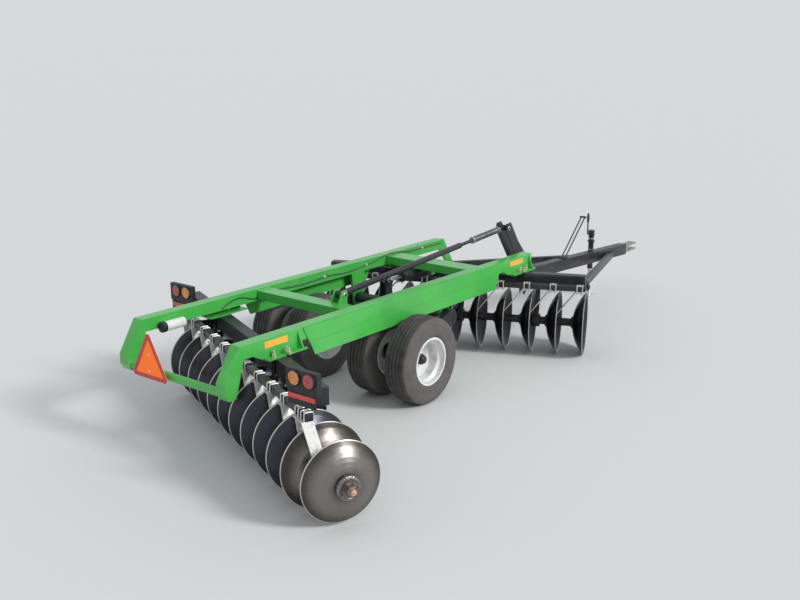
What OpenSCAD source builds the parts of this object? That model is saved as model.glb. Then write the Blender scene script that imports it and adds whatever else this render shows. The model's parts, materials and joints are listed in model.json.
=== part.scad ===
// Wheeled offset disc harrow: two disc gangs in a sideways V under a frame of two rails,
// carried on a trailing-arm axle with twin tyres and drawn by a hinged tongue.
// X points forward, Y to the left, Z up; the floor is Z = 0. Working coordinates start over the
// wheel axle on the frame's centre line, and centred() moves every piece to the part's own origin.

/* [Rails] */
// Outer face of each rail from the centre line
rail_out = 600; // [590:1:610]
// Width of the rail tube
rail_w = 102; // [96:1:104]
// Height of the rail tube
rail_h = 102; // [98:1:104]
// Top of the rails above the floor
rail_top = 919; // [910:1:930]
// Rear end of the rails, behind the axle
rail_rear = 1867; // [1840:1:1900]
// Front end of the rails, ahead of the axle
rail_front = 2070; // [2062:1:2090]
// Thickness of the deep side plate
side_t = 8; // [6:1:10]
// Lower edge of the deep side plate above the floor
side_low = 675; // [668:1:690]
// Height of the doubled lower band of the side plate
side_band = 112; // [80:1:130]
// Thickness of the doubled lower band
band_t = 5; // [3:1:8]
// Length that the side plate's ends lean in from top to bottom
side_lean = 118; // [80:1:140]
// How far a leg's rear edge lies behind the rail's rear end
leg_lean = 153; // [140:1:160]
// Drop of the legs from the rail top to their foot
leg_drop = 376; // [370:1:390]
// Width of a leg at its foot
leg_foot = 96; // [92:1:110]

/* [Frame] */
// Diameter of the rear cross tube
cross_d = 64; // [50:1:66]
// Rear crossbeam's centre, behind the axle
rear_beam_x = 575; // [570:1:580]
// Rear crossbeam's width along the rails
rear_beam_w = 152; // [140:1:160]
// Front crossbeam's centre, ahead of the axle
front_beam_x = 1210; // [1200:1:1215]
// Front crossbeam's width along the rails
front_beam_w = 203; // [190:1:210]
// Height of both crossbeams
beam_h = 76; // [70:1:78]
// Step from the rail top down to the crossbeam tops
beam_step = 14; // [8:1:16]
// Thickness of the gang mounts' plates
mount_t = 12; // [10:1:14]
// Width of the gang mounts' flange outside the rail
flange_w = 62; // [50:1:75]
// Length of the gang mounts' flange
flange_l = 400; // [360:1:420]
// How far a mount's flange reaches ahead of the middle of its gang beam
mount_lead = 220; // [200:1:224]
// Step from the rails' lower face down to the top of the gang mounts' flanges
mount_step = 40; // [36:1:44]
// Thickness of the clevis ears on the crossbeams
ear_t = 12; // [10:1:14]
// Side clearance of a rod or cylinder eye between its ears
ear_gap = 6; // [5:1:8]
// Width of the lamp boxes
lamp_w = 278; // [266:1:290]
// Height of the lamp boxes
lamp_h = 144; // [138:1:150]
// Depth of the lamp boxes
lamp_deep = 40; // [34:1:42]
// Diameter of the lenses
lens_d = 100; // [90:1:110]
// Width of the slow sign
sign_w = 400; // [380:1:410]
// Height of the slow sign
sign_h = 350; // [340:1:356]

/* [Gangs] */
// Angle of each gang to the lateral line
gang_angle = 23.5; // [23:0.5:24]
// Where the front gang beam crosses the centre line, ahead of the axle
front_gang_x = 1598; // [1594:1:1602]
// Where the rear gang beam crosses the centre line, behind the axle
rear_gang_x = 1231; // [1225:1:1236]
// Width of a gang beam
gang_beam_w = 102; // [96:1:104]
// Height of a gang beam
gang_beam_h = 127; // [122:1:130]
// Half length of the front gang beam
front_beam_half = 1300; // [1290:1:1310]
// Half length of the rear gang beam
rear_beam_half = 1440; // [1430:1:1450]
// Diameter of a disc
disc_d = 610; // [604:1:612]
// Diameter of the rear gang's right end disc
end_disc_d = 560; // [550:1:570]
// Dish depth of a disc
disc_dish = 115; // [108:1:117]
// Thickness of a disc
disc_t = 6; // [5:1:7]
// Diameter of the flat centre of a disc
disc_flat_d = 132; // [128:1:140]
// Spacing of the discs along their shaft
disc_pitch = 254; // [252:1:256]
// Height of the disc shafts above the floor
shaft_z = 310; // [308:1:312]
// How far a disc shaft lies behind its gang beam
shaft_back = 100; // [96:1:104]
// Hub plane of the front gang's right end disc, from the centre line
front_disc_first = 1203; // [1199:1:1207]
// Hub plane of the rear gang's right end disc, from the centre line
rear_disc_first = 2030; // [2026:1:2034]
// Side of the square gang shaft
shaft_side = 32; // [28:1:34]
// Barrel diameter of the spools between the discs
spool_d = 76; // [72:1:84]
// Flange diameter of the spools
spool_flange_d = 124; // [116:1:126]
// Length of the nut, washers and bolt end outside an end disc
nut_l = 96; // [90:1:100]
// How far the scraper bar lies behind its gang beam
bar_back = 207; // [200:1:215]
// Side of the square scraper bar
bar_side = 51; // [45:1:54]
// Height of the scraper bars' centre above the floor
bar_z = 680; // [676:1:684]
// Width of a scraper
scraper_w = 84; // [60:1:90]
// Thickness of a scraper
scraper_t = 8; // [6:1:10]
// Gap between a scraper and its disc
scraper_gap = 12; // [10:1:16]

/* [Axle] */
// Outside diameter of a tyre
tyre_d = 756; // [750:1:760]
// Width of a tyre
tyre_w = 241; // [236:1:244]
// Diameter over the rim's flanges
rim_d = 416; // [412:1:420]
// Distance between the centres of twin tyres
twin_gap = 414; // [410:1:418]
// Middle of each pair of twin tyres from the centre line
twin_y = 576; // [574:1:578]
// Rockshaft ahead of the wheel centre
rock_x = 690; // [685:1:695]
// Rockshaft centre above the floor
rock_z = 560; // [555:1:562]
// Diameter of the rockshaft
rock_d = 114; // [108:1:116]
// Wall of the bearing eye round the rockshaft
shell_t = 12; // [10:1:16]
// Thickness of a trailing arm
arm_t = 76; // [70:1:78]
// Diameter of the stub axles
stub_d = 60; // [54:1:62]
// Running clearance of pins and shafts, on the radius
run_gap = 0.05; // [0.02:0.01:0.1]
// Radius from the rockshaft to the lift lever's pin
lever_r = 240; // [236:1:244]
// Lift cylinder's line from the centre line
lift_y = 150; // [140:1:160]
// Outside diameter of the lift cylinder
cylinder_d = 90; // [84:1:92]
// Diameter of the lift rod
rod_d = 44; // [38:1:48]
// Lift cylinder's anchor pin, ahead of the axle
anchor_x = 1375; // [1370:1:1380]
// Lift cylinder's anchor pin above the floor
anchor_z = 755; // [750:1:758]
// Diameter of the cylinder pins
pin_d = 25; // [22:1:27]

/* [Tongue] */
// Tongue's line, to the right of the centre line
tongue_y = 300; // [295:1:305]
// Tongue pivot, ahead of the axle
pivot_x = 2290; // [2286:1:2294]
// Tongue pivot above the floor
pivot_z = 600; // [596:1:604]
// Tongue tube's height
tongue_h = 127; // [120:1:132]
// Tongue tube's width
tongue_w = 102; // [98:1:106]
// Front of the tongue tube, ahead of the axle
tongue_front = 4760; // [4750:1:4770]
// Diameter of the tongue's cross tube
hinge_tube_d = 60; // [56:1:64]
// Diameter of the tongue's hinge pins
hinge_pin_d = 30; // [26:1:32]
// Thickness of the tongue's hinge ears
hinge_ear_t = 36; // [32:1:40]
// Left hinge ear's middle from the centre line
left_hinge_y = 552; // [548:1:556]
// Hitch pin hole, ahead of the axle
hitch_x = 4995; // [4985:1:5005]
// Hitch height above the floor
hitch_z = 470; // [465:1:475]
// Hitch pin hole's radius
hitch_r = 16.5; // [14:0.5:20]
// Jack, ahead of the axle
jack_x = 4100; // [4090:1:4110]
// Diameter of the jack's outer tube
jack_d = 64; // [60:1:70]
// Mast pin, ahead of the axle
mast_x = 2010; // [2005:1:2015]
// Mast pin above the floor
mast_z = 1150; // [1145:1:1155]
// Thickness of the mast's plates
mast_t = 12; // [10:1:14]
// Leveling rod's rear pin, behind the axle
level_x = 470; // [466:1:474]
// Leveling rod's rear pin above the floor
level_z = 965; // [960:1:970]
// Diameter of the leveling tube
level_d = 54; // [50:1:58]
// Diameter of the leveling rod
level_rod_d = 32; // [28:1:36]

/* [Hidden] */
$fn = 48;
eps = 0.01;

rail_bottom = rail_top - rail_h;
rail_in = rail_out - rail_w;
rail_mid = rail_out - rail_w / 2;
flange_top = rail_bottom - mount_step;
flange_low = flange_top - mount_t;
gang_beam_low = flange_low - gang_beam_h;
beam_top = rail_top - beam_step;
beam_low = beam_top - beam_h;
disc_r = disc_d / 2;
end_disc_r = end_disc_d / 2;
hinge_inset = 70;
right_hinge_y = round(front_beam_half * cos(gang_angle) - hinge_inset);
disc_count = 12;
gang_l = disc_pitch * (disc_count - 1);
wheel_r = tyre_d / 2;
tyre_half = tyre_w / 2;
inner_y = twin_y - twin_gap / 2;
outer_y = twin_y + twin_gap / 2;
pin_over = 8;
seat_gap = 0.3;
amber = [1.0, 0.66, 0.16];
green = [0.27, 0.66, 0.27];
black = [0.08, 0.08, 0.09];
steel = [0.6, 0.6, 0.6];

// Section of a disc: flat centre, then a ball's surface out to the rim
flat_r = disc_flat_d / 2;
ball_s = (disc_r * disc_r - flat_r * flat_r + disc_dish * disc_dish) / (2 * disc_dish);
ball_r = norm([ball_s, flat_r]);
dish_steps = 7;

function dish(r) = r <= flat_r ? 0 : ball_s - sqrt(ball_r * ball_r - r * r);

// Reach of the whole machine, from which its middle follows
reach_rear = -rear_gang_x - shaft_back * cos(gang_angle)
    - (rear_disc_first - dish(end_disc_r)) * sin(gang_angle) - end_disc_r * cos(gang_angle);
reach_front = hitch_x + 45;
reach_right = shaft_back * sin(gang_angle) - (rear_disc_first + nut_l) * cos(gang_angle)
    - shaft_side / 2 * sin(gang_angle);
reach_left = -shaft_back * sin(gang_angle) + (gang_l - front_disc_first + nut_l) * cos(gang_angle)
    + shaft_side / 2 * sin(gang_angle);
mid_x = (reach_rear + reach_front) / 2;
mid_y = (reach_right + reach_left) / 2;

module centred() {
    translate([-mid_x, -mid_y, 0]) children();
}

module block(low, high) {
    translate(low) cube(high - low);
}

// Extrudes a side view drawn in X and Z from y = from to y = to
module side_view(from, to) {
    translate([0, to, 0]) rotate([90, 0, 0]) linear_extrude(to - from) children();
}

// A rod along Y
module y_rod(x, z, d, from, to) {
    translate([x, to, z]) rotate([90, 0, 0]) cylinder(h = to - from, d = d);
}

// Puts gang coordinates (ahead, along to the left, up) on the machine
module on_front_gang() {
    translate([front_gang_x, 0, 0]) rotate([0, 0, gang_angle]) children();
}

module on_rear_gang() {
    translate([-rear_gang_x, 0, 0]) rotate([0, 0, -gang_angle]) children();
}

// Front edges of a side's gang mounts, where its rail crosses the gang beams (side: 1 left, -1 right)
function rear_mount(side) = -rear_gang_x + side * rail_mid * tan(gang_angle) + mount_lead;
function front_mount(side) = front_gang_x - side * rail_mid * tan(gang_angle) + mount_lead;

leg_toe_x = -rail_rear - leg_lean + leg_foot;
foot_z = rail_top - leg_drop;
cross_x = -rail_rear - leg_lean + cross_d / 2 + 17;
cross_z = foot_z + cross_d / 2 + 9;
mount_slope = 100;

// A rail as its left-hand form: tube, mitred leg, deep side plate and two gang mounts
module rail_side(rear, front) {
    difference() {
        side_view(rail_in, rail_out) polygon([
            [rail_front, rail_top], [-rail_rear, rail_top], [-rail_rear - leg_lean, foot_z + 127],
            [-rail_rear - leg_lean, foot_z + 47], [-rail_rear - leg_lean + 30, foot_z],
            [leg_toe_x, foot_z], [leg_toe_x + 86, rail_bottom], [rail_front, rail_bottom]
        ]);
        y_rod(cross_x, cross_z, cross_d + 2 * run_gap, rail_in - 10, rail_out + 10);
    }
    side_plate(rear + 15, front - flange_l - mount_slope - 40);
    gang_mount(rear);
    gang_mount(front);
}

// Side plate from its rear to its front top corner, with the doubled lower band
module side_plate(rear, front) {
    top = rail_top - 6;
    lean = side_lean / (top - side_low);
    outline = [
        [rear, top], [front, top], [front - side_lean, side_low], [rear + side_lean, side_low]
    ];
    side_view(rail_out - eps, rail_out + side_t) polygon(outline);
    side_view(rail_out - eps, rail_out + side_t + band_t) intersection() {
        polygon(outline);
        translate([rear, side_low]) square([front - rear, side_band]);
    }
}

// Web under the rail's outer face, a flange for the beam's bolts and a three-cornered gusset
module gang_mount(front) {
    side_view(rail_out - mount_t, rail_out) polygon([
        [front, rail_bottom + eps], [front, flange_low], [front - flange_l, flange_low],
        [front - flange_l - mount_slope, rail_bottom + eps]
    ]);
    block([front - flange_l, rail_in, flange_low], [front, rail_out + flange_w, flange_top]);
    translate([front - 42, rail_out - eps, flange_top - eps]) rotate([90, 0, 90])
        linear_extrude(mount_t) polygon([[0, 0], [flange_w - 8, 0], [0, 130]]);
}

module right_rail() {
    color(green) centred() mirror([0, 1, 0]) rail_side(rear_mount(-1), front_mount(-1));
}

module left_rail() {
    color(green) centred() {
        rail_side(rear_mount(1), front_mount(1));
        hinge_ear(left_hinge_y, [
            [rail_front - 10, rail_top - 12], [rail_front + 70, rail_top - 12],
            [pivot_x + 33, pivot_z + 12], [pivot_x - 20, pivot_z - 28], [rail_front - 10, rail_bottom + 10]
        ]);
    }
}

// Hinge ear of the tongue: an arm from its carrier to the round eye at the pivot
module hinge_ear(y, arm) {
    side_view(y - hinge_ear_t / 2, y + hinge_ear_t / 2) difference() {
        union() {
            polygon(arm);
            translate([pivot_x, pivot_z]) circle(d = hinge_pin_d + 42);
        }
        translate([pivot_x, pivot_z]) circle(d = hinge_pin_d + 2 * run_gap);
    }
}

level_eye_w = 60;

// Beam between the rails with the clevis of the leveling rod on it
module rear_crossbeam() {
    front = -rear_beam_x + rear_beam_w / 2;
    inside = level_eye_w / 2 + ear_gap;
    color(green) centred() {
        block([-rear_beam_x - rear_beam_w / 2, -rail_in, beam_low], [front, rail_in, beam_top]);
        for (side = [-1, 1])
            translate([0, side * (inside + ear_t / 2) - tongue_y, 0])
                side_view(-ear_t / 2, ear_t / 2) polygon([
                    [-level_x - 75, beam_top - eps], [-level_x - 30, level_z + 35], [-level_x + 32, level_z + 35],
                    [-level_x + 32, beam_low], [front - eps, beam_low], [front - eps, beam_top - eps]
                ]);
        y_rod(-level_x, level_z, pin_d, -tongue_y - inside - ear_t - pin_over, -tongue_y + inside + ear_t + pin_over);
    }
}

anchor_eye_w = 50;
ear_back = 35;

// Beam between the rails with the lift cylinder's anchor ears under it
module front_crossbeam() {
    front = front_beam_x + front_beam_w / 2;
    inside = anchor_eye_w / 2 + ear_gap;
    color(green) centred() {
        block([front_beam_x - front_beam_w / 2, -rail_in, beam_low], [front, rail_in, beam_top]);
        for (side = [-1, 1])
            translate([0, lift_y + side * (inside + ear_t / 2), 0])
                side_view(-ear_t / 2, ear_t / 2) polygon([
                    [front_beam_x + 40, beam_low + eps], [anchor_x - ear_back, beam_low - 17],
                    [anchor_x - ear_back + 3, anchor_z - 32], [anchor_x + 32, anchor_z - 32],
                    [anchor_x + 32, beam_top - 20], [front - eps, beam_top - 20], [front - eps, beam_low + eps]
                ]);
        y_rod(anchor_x, anchor_z, pin_d, lift_y - inside - ear_t - pin_over, lift_y + inside + ear_t + pin_over);
    }
}

module rear_cross_tube() {
    color(green) centred() y_rod(cross_x, cross_z, cross_d, -rail_out, rail_out);
}

lug_in = rail_in + 4;
lug_out = rail_in + 30;

// Lug from a rail's lower face down to the rockshaft's bearing
module axle_lug() {
    eye_d = rock_d + 2 * shell_t;
    difference() {
        union() {
            side_view(lug_in, lug_out) polygon([
                [rock_x - 95, rail_bottom], [rock_x + 95, rail_bottom],
                [rock_x + eye_d / 2 - 3, rock_z], [rock_x - eye_d / 2 + 3, rock_z]
            ]);
            y_rod(rock_x, rock_z, eye_d, lug_in, lug_out);
        }
        y_rod(rock_x, rock_z, rock_d + 2 * run_gap, lug_in - 5, lug_out + 5);
    }
}

module right_axle_lug() {
    color(green) centred() mirror([0, 1, 0]) axle_lug();
}

module left_axle_lug() {
    color(green) centred() axle_lug();
}

module gang_beam(half) {
    block([-gang_beam_w / 2, -half, gang_beam_low], [gang_beam_w / 2, half, flange_low]);
}

// X of a gang beam's middle at y on the front gang
function front_beam_at(y) = front_gang_x - y * tan(gang_angle);

module front_gang_beam() {
    color(black) centred() {
        on_front_gang() gang_beam(front_beam_half);
        hinge_ear(-right_hinge_y, [
            [front_beam_at(-right_hinge_y), flange_low - 20], [pivot_x - 60, flange_low - 60],
            [pivot_x + 20, pivot_z + 28], [pivot_x - 20, pivot_z - 28],
            [front_beam_at(-right_hinge_y), gang_beam_low + 10]
        ]);
    }
}

module rear_gang_beam() {
    color(black) centred() on_rear_gang() gang_beam(rear_beam_half);
}

// Gaps between discs that hold a standard, counted from the right, and how far the standard stands
// from the middle of its gap, away from the rim that reaches into it
front_gaps = [1, 4, 7, 9];
rear_gaps = [2, 4, 7, 10];
standard_shift = 20;
standard_foot = 14;

// Points on the curve from a to c that starts and ends towards b
function bend(a, b, c, steps = 6) = [
    for (i = [0:steps]) let (t = i / steps) a * (1 - t) * (1 - t) + b * 2 * t * (1 - t) + c * t * t
];

// Side view of a standard, drawn smaller by inset all round
module standard_outline(inset) {
    head_z = gang_beam_low - standard_foot + 1 - inset;
    polygon(concat(
        bend([52 - inset, head_z], [44 - inset, 430], [-shaft_back + 62 - inset, shaft_z + 12 + inset]),
        [[-shaft_back, shaft_z - 30 + inset]],
        bend([-shaft_back - 62 + inset, shaft_z + 12 + inset], [-62 + inset, 470], [-52 + inset, head_z])
    ));
}

// A cast standard from the beam down to the bearing round a spool
module standard(u) {
    rib = 9;
    translate([0, u, 0]) {
        block([-60, -45, gang_beam_low - standard_foot], [60, 45, gang_beam_low]);
        difference() {
            union() {
                side_view(-6, 6) standard_outline(0);
                difference() {
                    side_view(-17, 17) standard_outline(0);
                    side_view(-20, 20) standard_outline(rib);
                }
                y_rod(-shaft_back, shaft_z, spool_d + 50, -38, 38);
            }
            y_rod(-shaft_back, shaft_z, spool_d + 2 * run_gap, -50, 50);
        }
    }
}

module front_standards() {
    color(black) centred() on_front_gang()
        for (gap = front_gaps)
            standard(-front_disc_first + disc_pitch * (gap + 0.5) - standard_shift);
}

module rear_standards() {
    color(black) centred() on_rear_gang()
        for (gap = rear_gaps)
            standard(-rear_disc_first + disc_pitch * (gap + 0.5) + standard_shift);
}

module disc_section(rim_r) {
    radii = [for (i = [0:dish_steps]) flat_r + (rim_r - flat_r) * i / dish_steps];
    polygon(concat(
        [[0, 0]], [for (r = radii) [r, dish(r)]],
        [for (i = [dish_steps:-1:0]) [radii[i], dish(radii[i]) + disc_t]], [[0, disc_t]]
    ));
}

// A disc at u whose hollow side faces along toward (1 or -1), with its square hole
module disc(u, toward, rim_r = disc_r) {
    hole = shaft_side + 1;
    translate([-shaft_back, u, shaft_z]) rotate([-90 * toward, 0, 0]) difference() {
        rotate_extrude($fn = 64) disc_section(rim_r);
        translate([-hole / 2, -hole / 2, -disc_t]) cube([hole, hole, 3 * disc_t]);
    }
}

// Square shaft, the spools between the discs, and an end washer, nut and bolt end outside each end disc
module gang_shaft(first, toward) {
    on_plus = toward > 0 ? disc_t : 0;
    on_minus = disc_t - on_plus;
    spool_l = disc_pitch - disc_t;
    flange_r = spool_flange_d / 2;
    translate([-shaft_back, first, shaft_z]) rotate([-90, 0, 0]) {
        translate([-shaft_side / 2, -shaft_side / 2, -20]) cube([shaft_side, shaft_side, gang_l + 40]);
        for (i = [0:disc_count - 2])
            translate([0, 0, i * disc_pitch + on_plus]) rotate_extrude() polygon([
                [0, 0], [flange_r, 0], [flange_r, 8], [spool_d / 2, 22], [spool_d / 2, spool_l - 22],
                [flange_r, spool_l - 8], [flange_r, spool_l], [0, spool_l]
            ]);
        translate([0, 0, -on_minus]) mirror([0, 0, 1]) shaft_end(nut_l - on_minus);
        translate([0, 0, gang_l + on_plus]) shaft_end(nut_l - on_plus);
    }
}

// Outer end of a gang shaft along z: end washer, hexagon nut and bolt end
module shaft_end(length) {
    cylinder(h = 14, d = spool_flange_d);
    translate([0, 0, 6]) cylinder(h = 8, d = spool_flange_d + 40);
    cylinder(h = 34, d = 92);
    cylinder(h = length - 22, d = 84, $fn = 6);
    cylinder(h = length, d = shaft_side + 10);
}

module front_discs() {
    color([0.3, 0.31, 0.33]) centred() on_front_gang()
        for (i = [0:disc_count - 1]) disc(-front_disc_first + i * disc_pitch, -1);
}

module rear_discs() {
    color([0.3, 0.31, 0.33]) centred() on_rear_gang()
        for (i = [0:disc_count - 1])
            disc(-rear_disc_first + i * disc_pitch, 1, i == 0 ? end_disc_r : disc_r);
}

module front_gang_shaft() {
    color(black) centred() on_front_gang() gang_shaft(-front_disc_first, -1);
}

module rear_gang_shaft() {
    color(black) centred() on_rear_gang() gang_shaft(-rear_disc_first, 1);
}

bar_low = bar_z - bar_side / 2;
bar_high = bar_z + bar_side / 2;
rear_bar_right = -1706;
rear_bar_left = 1024;
front_bar_right = -1320;
front_bar_left = 1345;

// Scraper bar with the arms that hang it from the gang beam
module bar(right, left) {
    block([-bar_back - bar_side / 2, right, bar_low], [-bar_back + bar_side / 2, left, bar_high]);
    for (share = [0.12, 0.5, 0.88])
        translate([0, right + (left - right) * share, 0])
            block([-bar_back + bar_side / 2 - eps, -8, bar_low], [-gang_beam_w / 2, 8, bar_high]);
}

module front_scraper_bar() {
    color(black) centred() on_front_gang() bar(front_bar_right, front_bar_left);
}

module rear_scraper_bar() {
    color(black) centred() on_rear_gang() bar(rear_bar_right, rear_bar_left);
}

// Scraper of the disc at u, on its hollow side: a foot clamped under the bar from reach back to turn,
// and a blade that slants from there down into the dish
module scraper(u, toward, turn, reach) {
    low_z = shaft_z + 46;
    far_x = bar_back + 15 + scraper_w / 2;
    low_r = norm([far_x - shaft_back, low_z - shaft_z]);
    tip = dish(low_r) + disc_t + scraper_gap;
    translate([-far_x, u, 0]) scale([1, toward, 1])
        rotate([90, 0, 90]) linear_extrude(scraper_w) polygon([
            [reach, bar_low], [turn, bar_low], [tip, low_z], [tip + 3, low_z - 6],
            [turn + scraper_t, bar_low - scraper_t], [reach, bar_low - scraper_t]
        ]);
}

module front_scrapers() {
    color(black) centred() on_front_gang()
        for (i = [1:disc_count - 1]) scraper(-front_disc_first + i * disc_pitch, -1, 280, 352);
}

// The near end disc lies outside the bar, so its blade reaches out from the bar's end
module rear_scrapers() {
    color(black) centred() on_rear_gang() {
        scraper(-rear_disc_first, 1, 328, 406);
        for (i = [1:disc_count - 1]) scraper(-rear_disc_first + i * disc_pitch, 1, 174, 246);
    }
}

// Lamp boxes face backwards: [back face in X, middle in Y]
right_lamp = [-2060, -1376];
left_lamp = [-1076, 991];
lamp_z = 891;
lens_up = 12;
strip_z = 781;
panel_low = 720;
reflector_h = 34;
bracket_in = 76;

module lamp_box(place) {
    translate([place[0], place[1], lamp_z]) difference() {
        block([0, -lamp_w / 2, -lamp_h / 2], [lamp_deep, lamp_w / 2, lamp_h / 2]);
        for (side = [-1, 1])
            translate([-eps, side * lamp_w * 0.23, lens_up]) rotate([0, 90, 0]) cylinder(h = 8, d = lens_d);
    }
    translate([place[0], place[1], 0])
        block([0, -lamp_w / 2 + 14, panel_low], [5, lamp_w / 2 - 14, lamp_z - lamp_h / 2 + eps]);
}

module right_lamp_box() {
    color(black) centred() lamp_box(right_lamp);
}

module left_lamp_box() {
    color(black) centred() lamp_box(left_lamp);
}

// Angle brackets from the rear gang beam's top to the lamp boxes
module lamp_brackets() {
    color(black) centred()
        for (place = [right_lamp, left_lamp]) {
            y = place[1] - sign(place[1]) * bracket_in;
            middle = -rear_gang_x + y * tan(gang_angle);
            low = [place[0] + lamp_deep, y - 30, flange_low];
            block(low, [middle, y + 30, flange_low + 6]);
            block(low, [low[0] + 6, y + 30, lamp_z + lamp_h / 2 - 20]);
            side_view(y - 3, y + 3) polygon([
                [low[0] + 6 - eps, flange_low + 6 - eps], [low[0] + 110, flange_low + 6 - eps],
                [low[0] + 6 - eps, lamp_z]
            ]);
        }
}

module lens(place, side) {
    translate([place[0], place[1] + side * lamp_w * 0.23, lamp_z + lens_up]) rotate([0, 90, 0])
        translate([0, 0, -8]) cylinder(h = 16 - 2 * eps, d = lens_d - 1);
}

module amber_lenses() {
    color(amber) centred() {
        lens(right_lamp, 1);
        lens(left_lamp, -1);
    }
}

module red_lenses() {
    color("red") centred() {
        lens(right_lamp, -1);
        lens(left_lamp, 1);
    }
}

module red_reflectors() {
    color("red") centred()
        for (place = [right_lamp, left_lamp])
            translate([place[0], place[1], strip_z])
                block([-4, -lamp_w / 2 + 20, -reflector_h / 2], [0, lamp_w / 2 - 20, reflector_h / 2]);
}

// Amber reflectors on the rails' outer faces over the gang mounts
module amber_reflectors() {
    color(amber) centred()
        for (side = [-1, 1], front = [rear_mount(side), front_mount(side)])
            scale([1, side, 1])
                block([front - 385, rail_out, rail_top - 72], [front - 150, rail_out + 3, rail_top - 22]);
}

// Three-cornered sign of a slow vehicle with cut corners, on a clamp of the cross tube
sign_y = 213;
sign_x = -2040;
sign_low = 550;
sign_t = 3;

module sign_bracket() {
    front = sign_x + sign_t;
    color(black) centred() difference() {
        union() {
            block([front, sign_y - 20, cross_z - 25], [front + 6, sign_y + 20, sign_low + sign_h - 90]);
            block([front, sign_y - 20, cross_z - 25], [cross_x, sign_y + 20, cross_z + 25]);
        }
        y_rod(cross_x, cross_z, cross_d + 2 * run_gap, sign_y - 30, sign_y + 30);
    }
}

module slow_sign() {
    cut = 36;
    color("orange") centred() translate([sign_x, sign_y, sign_low]) rotate([90, 0, 90])
        linear_extrude(sign_t) polygon([
            [-sign_w / 2, 30], [-sign_w / 2 + 22, 0], [sign_w / 2 - 22, 0], [sign_w / 2, 30],
            [cut / 2, sign_h], [-cut / 2, sign_h]
        ]);
}

canister_d = 80;

module manual_canister() {
    color("white") centred() translate([-1720, rail_in - canister_d / 2 - seat_gap, 832])
        rotate([0, 90, 0]) cylinder(h = 220, d = canister_d);
}

// Steel oil line along the left rail's inner face: [x, z] of each bend
line_d = 12;
line_points = [
    [-480, 870], [-400, 868], [-122, 849], [117, 859], [281, 866], [493, 845], [683, 859], [939, 882],
    [1085, 914], [1175, 922], [1330, 914], [1420, 886], [2040, 886]
];

// Cuts each corner of a route at a quarter and at three quarters of its sides
function rounded(p) = concat(
    [p[0]], [for (i = [0:len(p) - 2], t = [0.25, 0.75]) p[i] * (1 - t) + p[i + 1] * t], [p[len(p) - 1]]
);

// Round bar of diameter d swept along a route of [x, z] points, in the plane y = 0
module swept_bar(route, d, sides = 8) {
    count = len(route);
    rings = [for (i = [0:count - 1])
        let (along = route[min(i + 1, count - 1)] - route[max(i - 1, 0)], n = [-along[1], along[0]] / norm(along))
        for (k = [0:sides - 1])
            let (a = 360 * k / sides)
            [route[i][0] + d / 2 * cos(a) * n[0], d / 2 * sin(a), route[i][1] + d / 2 * cos(a) * n[1]]
    ];
    walls = [for (i = [0:count - 2], k = [0:sides - 1])
        let (next = (k + 1) % sides)
        [i * sides + k, i * sides + next, (i + 1) * sides + next, (i + 1) * sides + k]
    ];
    first = [for (k = [sides - 1:-1:0]) k];
    last = [for (k = [0:sides - 1]) (count - 1) * sides + k];
    polyhedron(rings, concat(walls, [first, last]));
}

module oil_line() {
    color(steel) centred() translate([0, rail_in - line_d / 2 - seat_gap, 0])
        swept_bar(rounded(rounded(line_points)), line_d);
}

// Trailing-arm axle: rockshaft with the lift lever, two arms between the twin tyres and their stub axles
arm_in = twin_y - arm_t / 2;
arm_out = twin_y + arm_t / 2;
lever_back = 20;
lever_x = rock_x - lever_back;
lever_z = rock_z + sqrt(lever_r * lever_r - lever_back * lever_back);
lever_eye_w = 40;
lever_t = 16;
disc_depth = 45;
hub_start = 10;
hub_nose = twin_gap / 2 + 3;
stub_l = twin_gap / 2 - 12;

module rockshaft() {
    inside = lever_eye_w / 2 + ear_gap;
    color(black) centred() {
        y_rod(rock_x, rock_z, rock_d, -arm_in, arm_in);
        for (side = [-1, 1])
            translate([0, lift_y + side * (inside + lever_t / 2), 0]) side_view(-lever_t / 2, lever_t / 2) {
                polygon([
                    [rock_x - rock_d / 2, rock_z], [rock_x + rock_d / 2, rock_z],
                    [lever_x + 32, lever_z], [lever_x - 32, lever_z]
                ]);
                translate([lever_x, lever_z]) circle(r = 32);
            }
        y_rod(lever_x, lever_z, pin_d, lift_y - inside - lever_t - pin_over, lift_y + inside + lever_t + pin_over);
    }
}

module arm() {
    side_view(arm_in, arm_out) {
        polygon([
            [0, wheel_r - 55], [rock_x, rock_z - rock_d / 2 - 15], [rock_x, rock_z + rock_d / 2 + 15], [0, wheel_r + 55]
        ]);
        translate([0, wheel_r]) circle(r = 55);
        translate([rock_x, rock_z]) circle(r = rock_d / 2 + 15);
    }
    y_rod(0, wheel_r, stub_d, twin_y - stub_l, twin_y + stub_l);
}

module right_arm() {
    color(black) centred() mirror([0, 1, 0]) arm();
}

module left_arm() {
    color(black) centred() arm();
}

// Half section of a tyre: bead against the rim's flange, bulging wall, rounded shoulder and tread
bead_r = 196;
bead_y = tyre_half * 0.86;

module tyre_section() {
    wall_low = bead_r + 20;
    wall_high = wheel_r - 38;
    wall = concat(
        [[bead_r, bead_y], [rim_d / 2 + 1.5, bead_y], [rim_d / 2 + 7, bead_y + 5]],
        [for (a = [-60:20:60])
            [(wall_low + wall_high) / 2 + (wall_high - wall_low) / 2 * sin(a), tyre_half * (0.9 + 0.1 * cos(a))]],
        [[wheel_r - 16, tyre_half * 0.86], [wheel_r - 4, tyre_half * 0.7], [wheel_r, tyre_half * 0.4]]
    );
    last = len(wall) - 1;
    polygon(concat(wall, [for (i = [last:-1:0]) [wall[i][0], -wall[i][1]]]));
}

module tyre(y) {
    color([0.16, 0.15, 0.14]) centred() translate([0, y, wheel_r]) rotate([90, 0, 0])
        rotate_extrude($fn = 72) tyre_section();
}

module right_outer_tyre() {
    tyre(-outer_y);
}

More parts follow.
